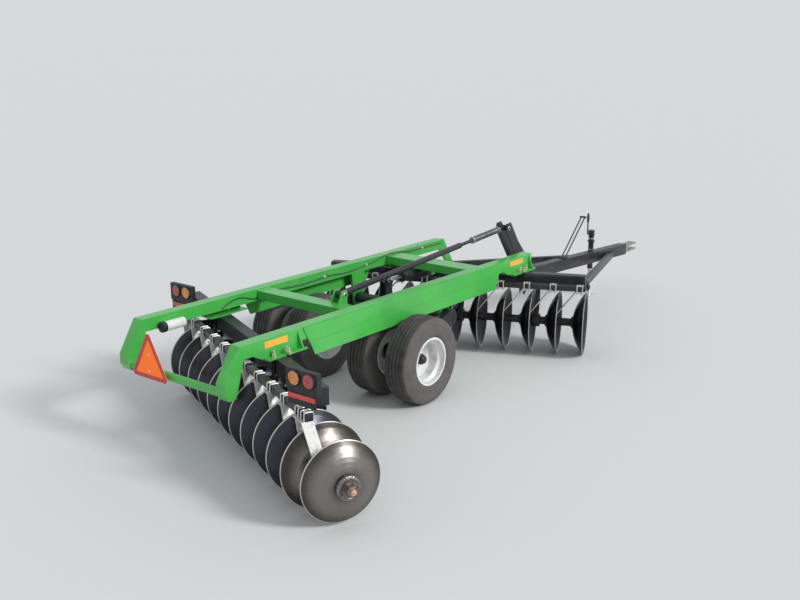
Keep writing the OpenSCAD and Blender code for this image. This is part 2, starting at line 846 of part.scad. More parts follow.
module right_inner_tyre() {
    tyre(-inner_y);
}

module left_outer_tyre() {
    tyre(outer_y);
}

module left_inner_tyre() {
    tyre(inner_y);
}

nose_d = 84;
hub_flange_d = 150;
rim_wall = 5;

// Rim about Y = 0 with its hollow side towards +Y: flanged drop-centre barrel and deep-set disc
module rim() {
    flange = bead_y + seat_gap;
    seat = bead_r - seat_gap;
    well = seat - 24;
    barrel = [[rim_d / 2, flange + 6], [rim_d / 2, flange], [seat, flange], [seat, flange - 32], [well, flange - 52]];
    inner = [[seat - rim_wall, flange + 6], [seat - rim_wall, flange - 35], [well - rim_wall, flange - 55]];
    face = -disc_depth;
    rotate([-90, 0, 0]) rotate_extrude($fn = 64) {
        polygon(concat(
            barrel, [for (i = [4:-1:0]) [barrel[i][0], -barrel[i][1]]],
            [for (p = inner) [p[0], -p[1]]], [for (i = [2:-1:0]) inner[i]]
        ));
        polygon([
            [nose_d / 2 + seat_gap, face - 5], [nose_d / 2 + seat_gap, face + 5], [90, face + 5], [130, face + 18],
            [well - 4, face + 14], [well - 4, face + 4], [130, face + 8], [90, face - 5]
        ]);
    }
}

module rims(side) {
    color("white") centred() translate([0, side * twin_y, wheel_r])
        for (o = [-1, 1])
            translate([0, side * o * twin_gap / 2, 0]) scale([1, side * o, 1]) rim();
}

module right_rims() {
    rims(-1);
}

module left_rims() {
    rims(1);
}

// Hub pair on a stub axle: barrel, flange that carries the rim's disc, nose and cap
module hubs(side) {
    seat = twin_gap / 2 - disc_depth - 5;
    color(black) centred() translate([0, side * twin_y, wheel_r])
        for (o = [-1, 1])
            rotate([-90 * side * o, 0, 0]) difference() {
                union() {
                    translate([0, 0, arm_t / 2 + hub_start]) cylinder(h = seat - arm_t / 2 - hub_start, d = 104);
                    translate([0, 0, seat - 14]) cylinder(h = 14, d = hub_flange_d);
                    translate([0, 0, seat - eps]) cylinder(h = hub_nose - seat, d = nose_d);
                }
                cylinder(h = stub_l + 1, d = stub_d + 2 * run_gap);
            }
}

module right_hubs() {
    hubs(-1);
}

module left_hubs() {
    hubs(1);
}

// Lift cylinder from its anchor pin back to the lever
lift_slope = atan2(lever_z - anchor_z, lever_x - anchor_x);
lift_len = norm([lever_x - anchor_x, lever_z - anchor_z]);
barrel_start = 45;
barrel_end = 445;
eye_play = 6;

// Puts lift coordinates (along the cylinder from its anchor) on the machine
module on_lift() {
    translate([anchor_x, lift_y, anchor_z]) rotate([0, -lift_slope, 0]) children();
}

// A rod along X
module x_rod(d, from, to) {
    translate([from, 0, 0]) rotate([0, 90, 0]) cylinder(h = to - from, d = d);
}

module lift_barrel() {
    half = anchor_eye_w / 2;
    color(black) centred() on_lift() difference() {
        union() {
            x_rod(cylinder_d, barrel_start, barrel_end);
            y_rod(0, 0, 60, -half, half);
            block([0, -half, -30], [barrel_start + 5, half, 30]);
        }
        y_rod(0, 0, pin_d + 2 * run_gap, -half - 5, half + 5);
        x_rod(rod_d + 2 * run_gap, barrel_start + 30, barrel_end + 5);
    }
}

module lift_rod() {
    half = lever_eye_w / 2;
    color("silver") centred() on_lift() difference() {
        union() {
            x_rod(rod_d, 200, lift_len - 20);
            y_rod(lift_len, 0, 68, -half, half);
        }
        y_rod(lift_len, 0, pin_d + 2 * eye_play, -half - 5, half + 5);
    }
}

// Height of the tongue tube's top and lower face at x
tongue_rear = pivot_x - 60;
function tongue_mid(x) = pivot_z + (hitch_z - pivot_z) * (x - tongue_rear) / (tongue_front - tongue_rear);
function tongue_top(x) = tongue_mid(x) + tongue_h / 2;
tongue_right = -tongue_y - tongue_w / 2;
tongue_left = -tongue_y + tongue_w / 2;

module tongue_beam() {
    right = -right_hinge_y + hinge_ear_t / 2 + 6;
    left = left_hinge_y - hinge_ear_t / 2 - 6;
    color(black) centred() {
        side_view(tongue_right, tongue_left) polygon([
            [tongue_rear, tongue_top(tongue_rear)], [tongue_front, tongue_top(tongue_front)],
            [tongue_front, tongue_top(tongue_front) - tongue_h], [tongue_rear, tongue_top(tongue_rear) - tongue_h]
        ]);
        y_rod(pivot_x, pivot_z, hinge_tube_d, right, left);
        y_rod(pivot_x, pivot_z, hinge_pin_d, right - 6 - hinge_ear_t - pin_over, left + 6 + hinge_ear_t + pin_over);
    }
}

brace_w = 50;
brace_h = 76;

// Flat-sided brace between two points, for cutting to its seats
module brace(from, to) {
    dir = to - from;
    length = norm(dir);
    translate(from) rotate([0, 0, atan2(dir[1], dir[0])]) rotate([0, -asin(dir[2] / length), 0])
        block([-40, -brace_w / 2, -brace_h / 2], [length + 60, brace_w / 2, brace_h / 2]);
}

module right_brace() {
    end = 4350;
    color(black) centred() difference() {
        brace([pivot_x + 20, -right_hinge_y + 70, pivot_z], [end, tongue_right, tongue_mid(end) - 20]);
        y_rod(pivot_x, pivot_z, hinge_tube_d + 2 * run_gap, -right_hinge_y, 0);
        block([pivot_x - 100, -right_hinge_y - 60, 300], [pivot_x, tongue_right, 800]);
        block([pivot_x, tongue_right, 300], [hitch_x, 300, 800]);
    }
}

module left_brace() {
    end = 3750;
    color(black) centred() difference() {
        brace([pivot_x + 20, left_hinge_y - 70, pivot_z], [end, tongue_left, tongue_mid(end)]);
        y_rod(pivot_x, pivot_z, hinge_tube_d + 2 * run_gap, -right_hinge_y, left_hinge_y);
        block([pivot_x - 100, tongue_left, 300], [pivot_x, left_hinge_y + 60, 800]);
        block([pivot_x, -right_hinge_y, 300], [hitch_x, tongue_left, 800]);
    }
}

clevis_gap = 50;
clevis_t = 20;
clevis_half = 50;

// Clevis on the tongue's front end, open to the front for the drawbar
module hitch_clevis() {
    root = tongue_front + 60;
    half = clevis_gap / 2 + clevis_t;
    color("silver") centred() translate([0, -tongue_y, hitch_z]) difference() {
        block([tongue_front, -clevis_half, -half], [reach_front, clevis_half, half]);
        block([root, -clevis_half - 1, -clevis_gap / 2], [reach_front + 1, clevis_half + 1, clevis_gap / 2]);
        translate([hitch_x, 0, -100]) cylinder(h = 200, r = hitch_r);
    }
}

// Mast: two plates on the tongue's sides up to the leveling rod's pin
module mast() {
    foot_rear = pivot_x + 60;
    foot_front = foot_rear + 230;
    color(black) centred() {
        for (y = [tongue_right - mast_t, tongue_left])
            side_view(y, y + mast_t) polygon([
                [mast_x - 40, mast_z - 30], [mast_x - 36, mast_z + 45], [mast_x + 40, mast_z + 52],
                [mast_x + 190, mast_z - 160], [foot_front, tongue_mid(foot_front)], [foot_rear, tongue_mid(foot_rear)]
            ]);
        y_rod(mast_x, mast_z, pin_d, tongue_right - mast_t - pin_over, tongue_left + mast_t + pin_over);
    }
}

jack_y = tongue_left + 40;
jack_low = 330;
jack_top = 785;
jack_collar = 655;
jack_crank = 100;
leg_d = 50;

// Jack: outer tube with its bracket on the tongue's side, gear cap and crank
module jack() {
    bracket_z = tongue_mid(jack_x);
    color(black) centred() translate([jack_x, jack_y, 0]) difference() {
        union() {
            translate([0, 0, jack_low]) cylinder(h = jack_top - jack_low, d = jack_d);
            block([-45, tongue_left - jack_y, bracket_z - 45], [45, 0, bracket_z + 45]);
            translate([0, 0, jack_collar]) cylinder(h = 10, d = jack_d + 26);
            translate([0, 0, jack_top - 60]) cylinder(h = 66, d = jack_d + 10);
            translate([-jack_crank, 0, jack_top - 20]) x_rod(16, 0, jack_crank);
            translate([-jack_crank, 0, jack_top - 28]) cylinder(h = 250, d = 16);
        }
        translate([0, 0, jack_low - 1]) cylinder(h = 301, d = leg_d + 2 * run_gap);
    }
}

module jack_leg() {
    color("silver") centred() translate([jack_x, jack_y, 0]) {
        translate([0, 0, 8]) cylinder(h = jack_low + 200, d = leg_d);
        block([-75, -60, 0], [75, 60, 8]);
    }
}

// Hose holder: an upright loop of round bar that leans forward over its base on the tongue
holder_d = 16;
holder_half = 22;
holder_foot = [3280, -tongue_y];
holder_top = [3700, 1005];

module hose_holder() {
    base = tongue_top(holder_foot[0]);
    rise = [holder_top[0] - holder_foot[0], holder_top[1] - base];
    color(black) centred() translate([0, -tongue_y, 0]) {
        side_view(-40, 40) polygon([
            [holder_foot[0] - 40, tongue_top(holder_foot[0] - 40)], [holder_foot[0] + 40, tongue_top(holder_foot[0] + 40)],
            [holder_foot[0] + 40, base + 12], [holder_foot[0] - 40, base + 12]
        ]);
        translate([holder_foot[0], 0, base + 11]) rotate([0, 90 - atan2(rise[1], rise[0]), 0]) {
            for (side = [-1, 1])
                translate([0, side * holder_half, 0]) cylinder(h = norm(rise), d = holder_d);
            translate([0, 0, norm(rise)]) rotate([90, 0, 0]) translate([0, 0, -holder_half - holder_d])
                cylinder(h = 2 * (holder_half + holder_d), d = holder_d + 6);
        }
    }
}

level_len = norm([mast_x + level_x, mast_z - level_z]);
level_slope = atan2(mast_z - level_z, mast_x + level_x);
mast_eye_w = 60;
level_tube_l = 1720;
level_bore = 1020;
level_in = 820;
level_play = 3;
spring_d = 62;
spring_from = 1930;
spring_to = 2370;

// Puts leveling coordinates (along the rod from its rear pin) on the machine
module on_level() {
    translate([-level_x, -tongue_y, level_z]) rotate([0, -level_slope, 0]) children();
}

module level_tube() {
    half = level_eye_w / 2;
    color(black) centred() on_level() difference() {
        union() {
            x_rod(level_d, 20, level_tube_l);
            y_rod(0, 0, 64, -half, half);
        }
        y_rod(0, 0, pin_d + 2 * run_gap, -half - 5, half + 5);
        x_rod(level_rod_d + 2 * run_gap, level_tube_l - level_bore, level_tube_l + 5);
    }
}

// Coil spring round the leveling rod, between two collars, as the tube that it fills
module level_spring() {
    color("silver") centred() on_level() difference() {
        union() {
            x_rod(spring_d, spring_from, spring_to);
            x_rod(spring_d + 8, spring_from - 8, spring_from + eps);
            x_rod(spring_d + 8, spring_to - eps, spring_to + 8);
        }
        x_rod(level_rod_d + 2 * run_gap, spring_from - 20, spring_to + 20);
    }
}

module level_rod() {
    half = mast_eye_w / 2;
    color("silver") centred() on_level() difference() {
        union() {
            x_rod(level_rod_d, level_tube_l - level_in, level_len - 15);
            y_rod(level_len, 0, 60, -half, half);
        }
        y_rod(level_len, 0, pin_d + 2 * level_play, -half - 5, half + 5);
    }
}

right_rail();
left_rail();
rear_crossbeam();
front_crossbeam();
rear_cross_tube();
right_axle_lug();
left_axle_lug();
front_gang_beam();
rear_gang_beam();
front_standards();
rear_standards();
front_scraper_bar();
rear_scraper_bar();
front_scrapers();
rear_scrapers();
right_lamp_box();
left_lamp_box();
lamp_brackets();
amber_lenses();
red_lenses();
red_reflectors();
amber_reflectors();
slow_sign();
sign_bracket();
manual_canister();
oil_line();
front_discs();
front_gang_shaft();
rear_discs();
rear_gang_shaft();
rockshaft();
right_arm();
left_arm();
right_outer_tyre();
right_inner_tyre();
left_outer_tyre();
left_inner_tyre();
right_rims();
left_rims();
right_hubs();
left_hubs();
lift_barrel();
lift_rod();
tongue_beam();
right_brace();
left_brace();
hitch_clevis();
mast();
jack();
jack_leg();
hose_holder();
level_tube();
level_rod();
level_spring();
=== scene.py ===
import json
import math

import bmesh
import bpy
import numpy as np
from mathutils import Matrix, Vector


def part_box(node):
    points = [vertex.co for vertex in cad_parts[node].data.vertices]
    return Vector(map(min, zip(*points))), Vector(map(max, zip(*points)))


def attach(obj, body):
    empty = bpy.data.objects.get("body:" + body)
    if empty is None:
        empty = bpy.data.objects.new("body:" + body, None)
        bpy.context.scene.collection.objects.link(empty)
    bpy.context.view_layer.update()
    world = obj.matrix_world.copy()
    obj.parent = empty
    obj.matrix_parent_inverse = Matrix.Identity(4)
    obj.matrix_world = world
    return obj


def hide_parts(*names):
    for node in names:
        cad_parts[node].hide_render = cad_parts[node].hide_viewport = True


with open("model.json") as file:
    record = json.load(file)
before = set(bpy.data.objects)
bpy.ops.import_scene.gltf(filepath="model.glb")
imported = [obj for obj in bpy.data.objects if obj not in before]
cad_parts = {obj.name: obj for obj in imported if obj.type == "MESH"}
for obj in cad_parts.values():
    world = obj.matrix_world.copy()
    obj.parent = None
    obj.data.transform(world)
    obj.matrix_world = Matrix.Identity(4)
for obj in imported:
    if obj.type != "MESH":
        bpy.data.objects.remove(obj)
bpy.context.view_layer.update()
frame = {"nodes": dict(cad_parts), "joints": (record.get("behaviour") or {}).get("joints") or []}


# Camera, light and floor
# The camera stands behind the harrow on its right, a little over head height, and looks down along it.
# Soft light comes from the whole sky and from a wide sun, over a plain pale floor.
joint_place = {joint["name"]: np.array(joint["pos_m"]) for joint in frame["joints"] if "pos_m" in joint}
twin_middle = (joint_place["wheels_right_spin"] + joint_place["wheels_left_spin"]) / 2
under_axle = twin_middle * (1, 1, 0)
camera_place = under_axle + (-6.395, -5.609, 3.058)
camera_yaw = 38.315
camera_pitch = -15.094
camera_lens = 44.73

camera_data = bpy.data.cameras.new("camera")
camera_data.lens = camera_lens
camera_data.sensor_width = 36.0
camera = bpy.data.objects.new("camera", camera_data)
camera.location = camera_place
camera.rotation_euler = (math.radians(90 + camera_pitch), 0, math.radians(camera_yaw - 90))
bpy.context.scene.collection.objects.link(camera)
bpy.context.scene.camera = camera
bpy.context.scene.view_settings.view_transform = "Standard"

sun_data = bpy.data.lights.new("soft_sun", "SUN")
sun_data.energy = 2.0
sun_data.angle = math.radians(14)
sun = bpy.data.objects.new("soft_sun", sun_data)
sun.rotation_euler = (math.radians(58), 0, math.radians(12))
bpy.context.scene.collection.objects.link(sun)

sky = bpy.data.worlds.new("sky")
bpy.context.scene.world = sky
sky.use_nodes = True
sky_light = sky.node_tree.nodes["Background"]
sky_light.inputs["Color"].default_value = (0.90, 0.95, 1.0, 1)
sky_light.inputs["Strength"].default_value = 0.62
sky_seen = sky.node_tree.nodes.new("ShaderNodeBackground")
sky_seen.inputs["Color"].default_value = (0.68, 0.70, 0.72, 1)
sky_seen.inputs["Strength"].default_value = 1.0
ray = sky.node_tree.nodes.new("ShaderNodeLightPath")
seen_or_mirrored = sky.node_tree.nodes.new("ShaderNodeMath")
seen_or_mirrored.operation = "MAXIMUM"
seen_at_all = sky.node_tree.nodes.new("ShaderNodeMath")
seen_at_all.operation = "MAXIMUM"
sky_mix = sky.node_tree.nodes.new("ShaderNodeMixShader")
wire = sky.node_tree.links.new
wire(ray.outputs["Is Camera Ray"], seen_or_mirrored.inputs[0])
wire(ray.outputs["Is Glossy Ray"], seen_or_mirrored.inputs[1])
wire(seen_or_mirrored.outputs[0], seen_at_all.inputs[0])
wire(ray.outputs["Is Transmission Ray"], seen_at_all.inputs[1])
wire(seen_at_all.outputs[0], sky_mix.inputs[0])
wire(sky_light.outputs[0], sky_mix.inputs[1])
wire(sky_seen.outputs[0], sky_mix.inputs[2])
wire(sky_mix.outputs[0], sky.node_tree.nodes["World Output"].inputs["Surface"])

floor_half = 300.0
floor_mesh = bpy.data.meshes.new("floor")
floor_corners = floor_half * np.array([[-1, -1, 0], [1, -1, 0], [1, 1, 0], [-1, 1, 0]], float)
floor_mesh.from_pydata(floor_corners.tolist(), [], [(0, 1, 2, 3)])
floor = bpy.data.objects.new("floor", floor_mesh)
bpy.context.scene.collection.objects.link(floor)
floor_paint = bpy.data.materials.new("floor_paint")
floor_paint.use_nodes = True
floor_shader = floor_paint.node_tree.nodes["Principled BSDF"]
floor_shader.inputs["Base Color"].default_value = (0.74, 0.74, 0.73, 1)
floor_shader.inputs["Roughness"].default_value = 0.9
floor_mesh.materials.append(floor_paint)


# Rails and crossbeams
# Two long rails of rolled square tube with deep side plates, joined by two crossbeams and a cross tube.
# The steel is welded, blasted and sprayed in a glossy field green; dust settles on it from below.


def start_finish(name, colour, roughness, metallic=0.0, coat=0.0):
    """A new material with its shader set; returns it, its node tree, the shader and object coordinates."""
    material = bpy.data.materials.new(name)
    material.use_nodes = True
    tree = material.node_tree
    shader = tree.nodes["Principled BSDF"]
    shader.inputs["Base Color"].default_value = (*colour, 1)
    shader.inputs["Roughness"].default_value = roughness
    shader.inputs["Metallic"].default_value = metallic
    shader.inputs["Coat Weight"].default_value = coat
    shader.inputs["Coat Roughness"].default_value = 0.12
    where = tree.nodes.new("ShaderNodeTexCoord").outputs["Object"]
    return material, tree, shader, where


def clouds(tree, where, size, detail=5.0, stretch=None):
    """Cloudy pattern with patches of about size metres, drawn out along an axis by stretch."""
    if stretch is not None:
        mapping = tree.nodes.new("ShaderNodeMapping")
        mapping.inputs["Scale"].default_value = stretch
        tree.links.new(where, mapping.inputs["Vector"])
        where = mapping.outputs["Vector"]
    node = tree.nodes.new("ShaderNodeTexNoise")
    node.inputs["Scale"].default_value = 1 / size
    node.inputs["Detail"].default_value = detail
    node.inputs["Roughness"].default_value = 0.62
    tree.links.new(where, node.inputs["Vector"])
    return node.outputs["Fac"]


def span(tree, value, start, end, low=0.0, high=1.0):
    """The value eased from low at start to high at end."""
    node = tree.nodes.new("ShaderNodeMapRange")
    node.interpolation_type = "SMOOTHSTEP"
    for socket, number in zip(("From Min", "From Max", "To Min", "To Max"), (start, end, low, high)):
        node.inputs[socket].default_value = number
    tree.links.new(value, node.inputs["Value"])
    return node.outputs["Result"]


def combine(tree, operation, first, second):
    """One step of arithmetic with two values, or with a value and a number."""
    node = tree.nodes.new("ShaderNodeMath")
    node.operation = operation
    for socket, value in zip(node.inputs, (first, second)):
        if isinstance(value, (int, float)):
            socket.default_value = value
        else:
            tree.links.new(value, socket)
    return node.outputs[0]


def tint(tree, share, first, second):
    """Colour that goes from first to second with share; either may be a colour or another tint."""
    node = tree.nodes.new("ShaderNodeMix")
    node.data_type = "RGBA"
    tree.links.new(share, node.inputs[0])
    for socket, colour in zip((node.inputs[6], node.inputs[7]), (first, second)):
        if isinstance(colour, tuple):
            socket.default_value = (*colour, 1)
        else:
            tree.links.new(colour, socket)
    return node.outputs[2]


def height_of(tree, where):
    """Height above the floor, in metres."""
    split = tree.nodes.new("ShaderNodeSeparateXYZ")
    tree.links.new(where, split.inputs[0])
    return split.outputs["Z"]


def relief(tree, shader, height, depth):
    """Bump of the surface from a height pattern, depth in metres."""
    node = tree.nodes.new("ShaderNodeBump")
    node.inputs["Strength"].default_value = 1.0
    node.inputs["Distance"].default_value = depth
    tree.links.new(height, node.inputs["Height"])
    tree.links.new(node.outputs["Normal"], shader.inputs["Normal"])


field_dust = (0.30, 0.24, 0.17)


def sprayed_paint(name, colour, shade, roughness, dust, coat, grain=0.00018):
    """Sprayed enamel: slight clouds of shade, orange-peel relief, fine specks and dust that thins upwards."""
    material, tree, shader, where = start_finish(name, colour, roughness, coat=coat)
    mottled = tint(tree, span(tree, clouds(tree, where, 0.35), 0.35, 0.7), colour, shade)
    low = span(tree, height_of(tree, where), 1.0, 0.25)
    film = combine(tree, "MULTIPLY", span(tree, clouds(tree, where, 0.09, 8), 0.44, 0.75), low)
    specks = combine(tree, "MULTIPLY", span(tree, clouds(tree, where, 0.006, 2), 0.66, 0.74), 0.5)
    dusty = combine(tree, "MULTIPLY", combine(tree, "ADD", film, specks), dust)
    tree.links.new(tint(tree, dusty, mottled, field_dust), shader.inputs["Base Color"])
    tree.links.new(span(tree, dusty, 0.0, 0.6, roughness, 0.85), shader.inputs["Roughness"])
    relief(tree, shader, clouds(tree, where, 0.004, 2), grain)
    return material


green_enamel = sprayed_paint("green_enamel", (0.070, 0.49, 0.075), (0.055, 0.42, 0.068), 0.34, 0.30,
                             coat=0.35)


def dress(node, material, edge=0.0):
    """Gives a solid its material, and rounds its sharp edges by edge metres."""
    solid = frame["nodes"][node]
    solid.data.materials.clear()
    solid.data.materials.append(material)
    if edge > 0:
        weld = solid.modifiers.new("weld", "WELD")
        weld.merge_threshold = 1e-5
        rounding = solid.modifiers.new("rounding", "BEVEL")
        rounding.width = edge
        rounding.segments = 2
        rounding.limit_method = "ANGLE"
        rounding.angle_limit = math.radians(40)
        rounding.harden_normals = False


for rail_node in ("right_rail", "left_rail", "rear_crossbeam", "front_crossbeam",
                  "right_axle_lug", "left_axle_lug"):
    dress(rail_node, green_enamel, edge=0.003)
dress("rear_cross_tube", green_enamel)


def put_piece(name, shape, material, body):
    """Makes a mesh piece on a body of the frame, faces outwards; a shape is (points, list of face arrays)."""
    points, faces = shape
    mesh = bpy.data.meshes.new(name)
    mesh.from_pydata(points.tolist(), [], [face for group in faces for face in group.tolist()])
    work = bmesh.new()
    work.from_mesh(mesh)
    bmesh.ops.remove_doubles(work, verts=work.verts, dist=1e-6)
    bmesh.ops.recalc_face_normals(work, faces=work.faces)
    work.to_mesh(mesh)
    work.free()
    mesh.polygons.foreach_set("use_smooth", np.ones(len(mesh.polygons), bool))
    mesh.set_sharp_from_angle(angle=math.radians(35))
    mesh.materials.append(material)
    piece = bpy.data.objects.new(name, mesh)
    bpy.context.scene.collection.objects.link(piece)
    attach(piece, body)
    return piece


def grid_faces(rows, columns, wrap_rows=False):
    """Four-cornered faces of a grid of points, row by row. Each row closes on itself, and the last row joins
    the first where rows wrap."""
    i, j = np.meshgrid(np.arange(rows if wrap_rows else rows - 1), np.arange(columns), indexing="ij")
    below, right = (i + 1) % rows, (j + 1) % columns
    corners = [i * columns + j, i * columns + right, below * columns + right, below * columns + j]
    return np.stack(corners, -1).reshape(-1, 4)


def bar_along(route, radius, sides):
    """Round bar along a route: at each of its points a circle of the radius, square to the route there."""
    route = np.asarray(route, float)
    count = len(route)
    tangent = np.gradient(route, axis=0)
    tangent /= np.linalg.norm(tangent, axis=1, keepdims=True)
    least_along = np.abs(tangent).mean(0).argmin()
    aside = np.cross(tangent, np.eye(3)[least_along])
    aside /= np.linalg.norm(aside, axis=1, keepdims=True)
    above = np.cross(aside, tangent)
    a = 2 * np.pi * np.arange(sides) / sides
    radius = np.broadcast_to(np.asarray(radius, float), (count,))[:, None, None]
    circle = np.cos(a)[None, :, None] * aside[:, None] + np.sin(a)[None, :, None] * above[:, None]
    points = (route[:, None] + radius * circle).reshape(-1, 3)
    cap = np.arange(sides)[None]
    return points, [grid_faces(count, sides), cap, (cap + (count - 1) * sides)[:, ::-1]]


def joined(shapes):
    """Several shapes as one."""
    points, faces, start = [], [], 0
    for some_points, some_faces in shapes:
        points.append(some_points)
        faces += [group + start for group in some_faces]
        start += len(some_points)
    return np.concatenate(points), faces


# Weld beads run where each crossbeam's end meets a rail: along its top and its lower edge.
rail_inner_face = 0.498
crossbeam_edges = ((-0.651, -0.499), (1.1085, 1.3115))
bead_heights = (0.829, 0.905)
bead_radius = 0.005
ripple = 0.012


def weld_bead(start, end):
    """Bead between two points: its radius is bead_radius (1 + 0.18 cos(2 pi s / ripple)) at the length s."""
    start, end = np.asarray(start, float), np.asarray(end, float)
    length = np.linalg.norm(end - start)
    share = np.linspace(0, 1, max(8, int(length / ripple * 5)))
    swell = 1 + 0.18 * np.cos(2 * np.pi * share * length / ripple)
    return bar_along(start + (end - start) * share[:, None], bead_radius * swell, 8)


beads = []
for rear_edge, front_edge in crossbeam_edges:
    for side in (-1, 1):
        for z in bead_heights:
            rear = under_axle + (rear_edge, side * rail_inner_face, z)
            beads.append(weld_bead(rear, rear + (front_edge - rear_edge, 0, 0)))
put_piece("crossbeam_welds", joined(beads), green_enamel, "frame")


# Gang beams and their clamp bolts
# Each gang hangs on a beam of square steel tube, enamelled black, under the rails' mounts. U-bolts hold it
# there in pairs, and their plated, threaded ends stand up through the mounts' flanges.
black_enamel = sprayed_paint("black_enamel", (0.012, 0.013, 0.018), (0.019, 0.020, 0.028), 0.42, 0.20,
                             coat=0.08)
for beam_node in ("front_gang_beam", "rear_gang_beam"):
    dress(beam_node, black_enamel, edge=0.006)


def plated(name, colour, shade, roughness):
    """Zinc plate: metal with blotches of shade, fine brushing and a little dust."""
    material, tree, shader, where = start_finish(name, colour, roughness, metallic=0.85)
    blotch = tint(tree, span(tree, clouds(tree, where, 0.02, 6), 0.38, 0.68), colour, shade)
    dust = span(tree, clouds(tree, where, 0.05, 8), 0.55, 0.85, 0.0, 0.5)
    tree.links.new(tint(tree, dust, blotch, field_dust), shader.inputs["Base Color"])
    tree.links.new(span(tree, clouds(tree, where, 0.008, 4), 0.3, 0.8, roughness - 0.08, roughness + 0.2),
                   shader.inputs["Roughness"])
    relief(tree, shader, clouds(tree, where, 0.002, 2), 0.0001)
    return material


yellow_zinc = plated("yellow_zinc", (0.84, 0.76, 0.48), (0.62, 0.58, 0.42), 0.42)

joint_axis = {joint["name"]: np.array(joint["axis"], float) for joint in frame["joints"]}
gangs = ("front_gang", "rear_gang")
rail_outer_face = 0.600
bolts_off_rail = (0.014, 0.048)
mount_flange_top = 0.777
gang_angle = math.atan2(-joint_axis["front_gang_spin"][0], joint_axis["front_gang_spin"][1])
shaft_behind_beam = 0.100
beam_half_width = 0.051
u_bolt_rod = 0.008
u_bolt_half_width = beam_half_width + u_bolt_rod + 0.001


def gang_forward(gang):
    """Level direction square to a gang's shaft, towards the front."""
    axis = joint_axis[gang + "_spin"]
    return np.array([axis[1], -axis[0], 0.0])


def gang_place(gang, ahead, along, height):
    """Point of a gang: ahead of its beam's middle, along it to the left from the centre line, and up."""
    axis, forward = joint_axis[gang + "_spin"], gang_forward(gang)
    start = joint_place[gang + "_spin"] * (1, 1, 0) + forward * shaft_behind_beam
    upward = np.array([0.0, 0.0, 1.0])
    ahead, along, height = np.broadcast_arrays(ahead, along, height)
    return start + ahead[..., None] * forward + along[..., None] * axis + height[..., None] * upward


def turned(profile, steps, ring=False, carved=0.0):
    """Surface turned about z: point = (r cos a, r sin a, h) for each (r, h) of the profile, with r less
    what is carved off it. A ring's profile closes on itself; any other is capped at both ends."""
    profile = np.asarray(profile, float)
    a = 2 * np.pi * np.arange(steps) / steps
    r, h = profile[:, :1] - carved, profile[:, 1:]
    points = np.stack([r * np.cos(a), r * np.sin(a), h + 0 * a], -1).reshape(-1, 3)
    faces = [grid_faces(len(profile), steps, wrap_rows=ring)]
    if not ring:
        cap = np.arange(steps)
        faces += [cap[None, ::-1], cap[None] + (len(profile) - 1) * steps]
    return points, faces


def standing_on(direction, ahead=(1.0, 0.0, 0.0)):
    """Turn whose third column is direction and whose first leans towards ahead."""
    z = np.asarray(direction, float) / np.linalg.norm(direction)
    x = np.asarray(ahead, float) - z * np.dot(ahead, z)
    if np.linalg.norm(x) < 1e-6:
        x = np.array([0.0, 0.0, 1.0]) - z * z[2]
    x /= np.linalg.norm(x)
    return np.stack([x, np.cross(z, x), z], 1)


def copies(shape, places, turn=np.eye(3)):
    """One shape set down at many places with one turn: point' = turn point + place."""
    points, faces = shape
    places = np.atleast_2d(np.asarray(places, float))
    turned_points = points @ np.asarray(turn).T
    all_points = (turned_points[None] + places[:, None]).reshape(-1, 3)
    starts = np.arange(len(places)) * len(points)
    return all_points, [(group[None] + starts[:, None, None]).reshape(-1, group.shape[1]) for group in faces]


def hexagon(width, height, chamfer=0.0015):
    """Six-sided head or nut over its flats' width, its corners turned off at both ends."""
    r = width / math.sqrt(3)
    return turned([(r - 2 * chamfer, 0), (r, chamfer), (r, height - chamfer), (r - 2 * chamfer, height)], 6)


def saddle_bolt(half_width, top, bottom, rod, corner=0.012):
    """U-bolt across x: up at -half_width, over at top with round corners, and down to bottom."""
    quarter = np.linspace(0, np.pi / 2, 5)
    rise = np.column_stack([-half_width + corner - corner * np.cos(quarter),
                            top - corner + corner * np.sin(quarter)])
    arch = np.concatenate([[[-half_width, bottom]], rise, rise[::-1] * (-1, 1), [[half_width, bottom]]])
    route = np.column_stack([arch[:, 0], np.zeros(len(arch)), arch[:, 1]])
    return bar_along(route, rod, 8)


thread_end = turned([(0.0095, 0), (0.0095, 0.046), (0.008, 0.048)], 12)
flange_nut = joined([turned([(0.017, 0), (0.017, 0.003)], 18), copies(hexagon(0.029, 0.020), (0, 0, 0.003))])
mount_bolt = joined([thread_end, flange_nut])
beam_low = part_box("front_gang_beam")[0][2]
mount_saddle = saddle_bolt(u_bolt_half_width, 0.001 + u_bolt_rod, beam_low - mount_flange_top, u_bolt_rod,
                           corner=0.02)
saddles = []
bolt_places = []
for gang in gangs:
    hanging = standing_on((0, 0, -1), gang_forward(gang))
    for side in (-1, 1):
        rows = [side * (rail_outer_face + off_rail) / math.cos(gang_angle) for off_rail in bolts_off_rail]
        bolt_places += [gang_place(gang, edge * u_bolt_half_width, along, mount_flange_top)
                        for edge in (-1, 1) for along in rows]
        saddles += [copies(mount_saddle, gang_place(gang, 0, along, beam_low), hanging) for along in rows]
put_piece("mount_bolt_ends", copies(mount_bolt, bolt_places), yellow_zinc, "frame")
put_piece("mount_saddles", joined(saddles), black_enamel, "frame")


# Standards
# Four cast-iron arms a gang, painted black, carry the bearings that it turns in. Each hangs in a gap between
# two discs and is bolted up to the gang's beam through its square foot.
cast_black = sprayed_paint("cast_black", (0.014, 0.014, 0.017), (0.024, 0.023, 0.025), 0.5, 0.22,
                           coat=0.05, grain=0.0006)
bright_zinc = plated("bright_zinc", (0.80, 0.80, 0.79), (0.58, 0.58, 0.58), 0.40)
for standard_node in ("front_standards", "rear_standards"):
    dress(standard_node, cast_black, edge=0.002)

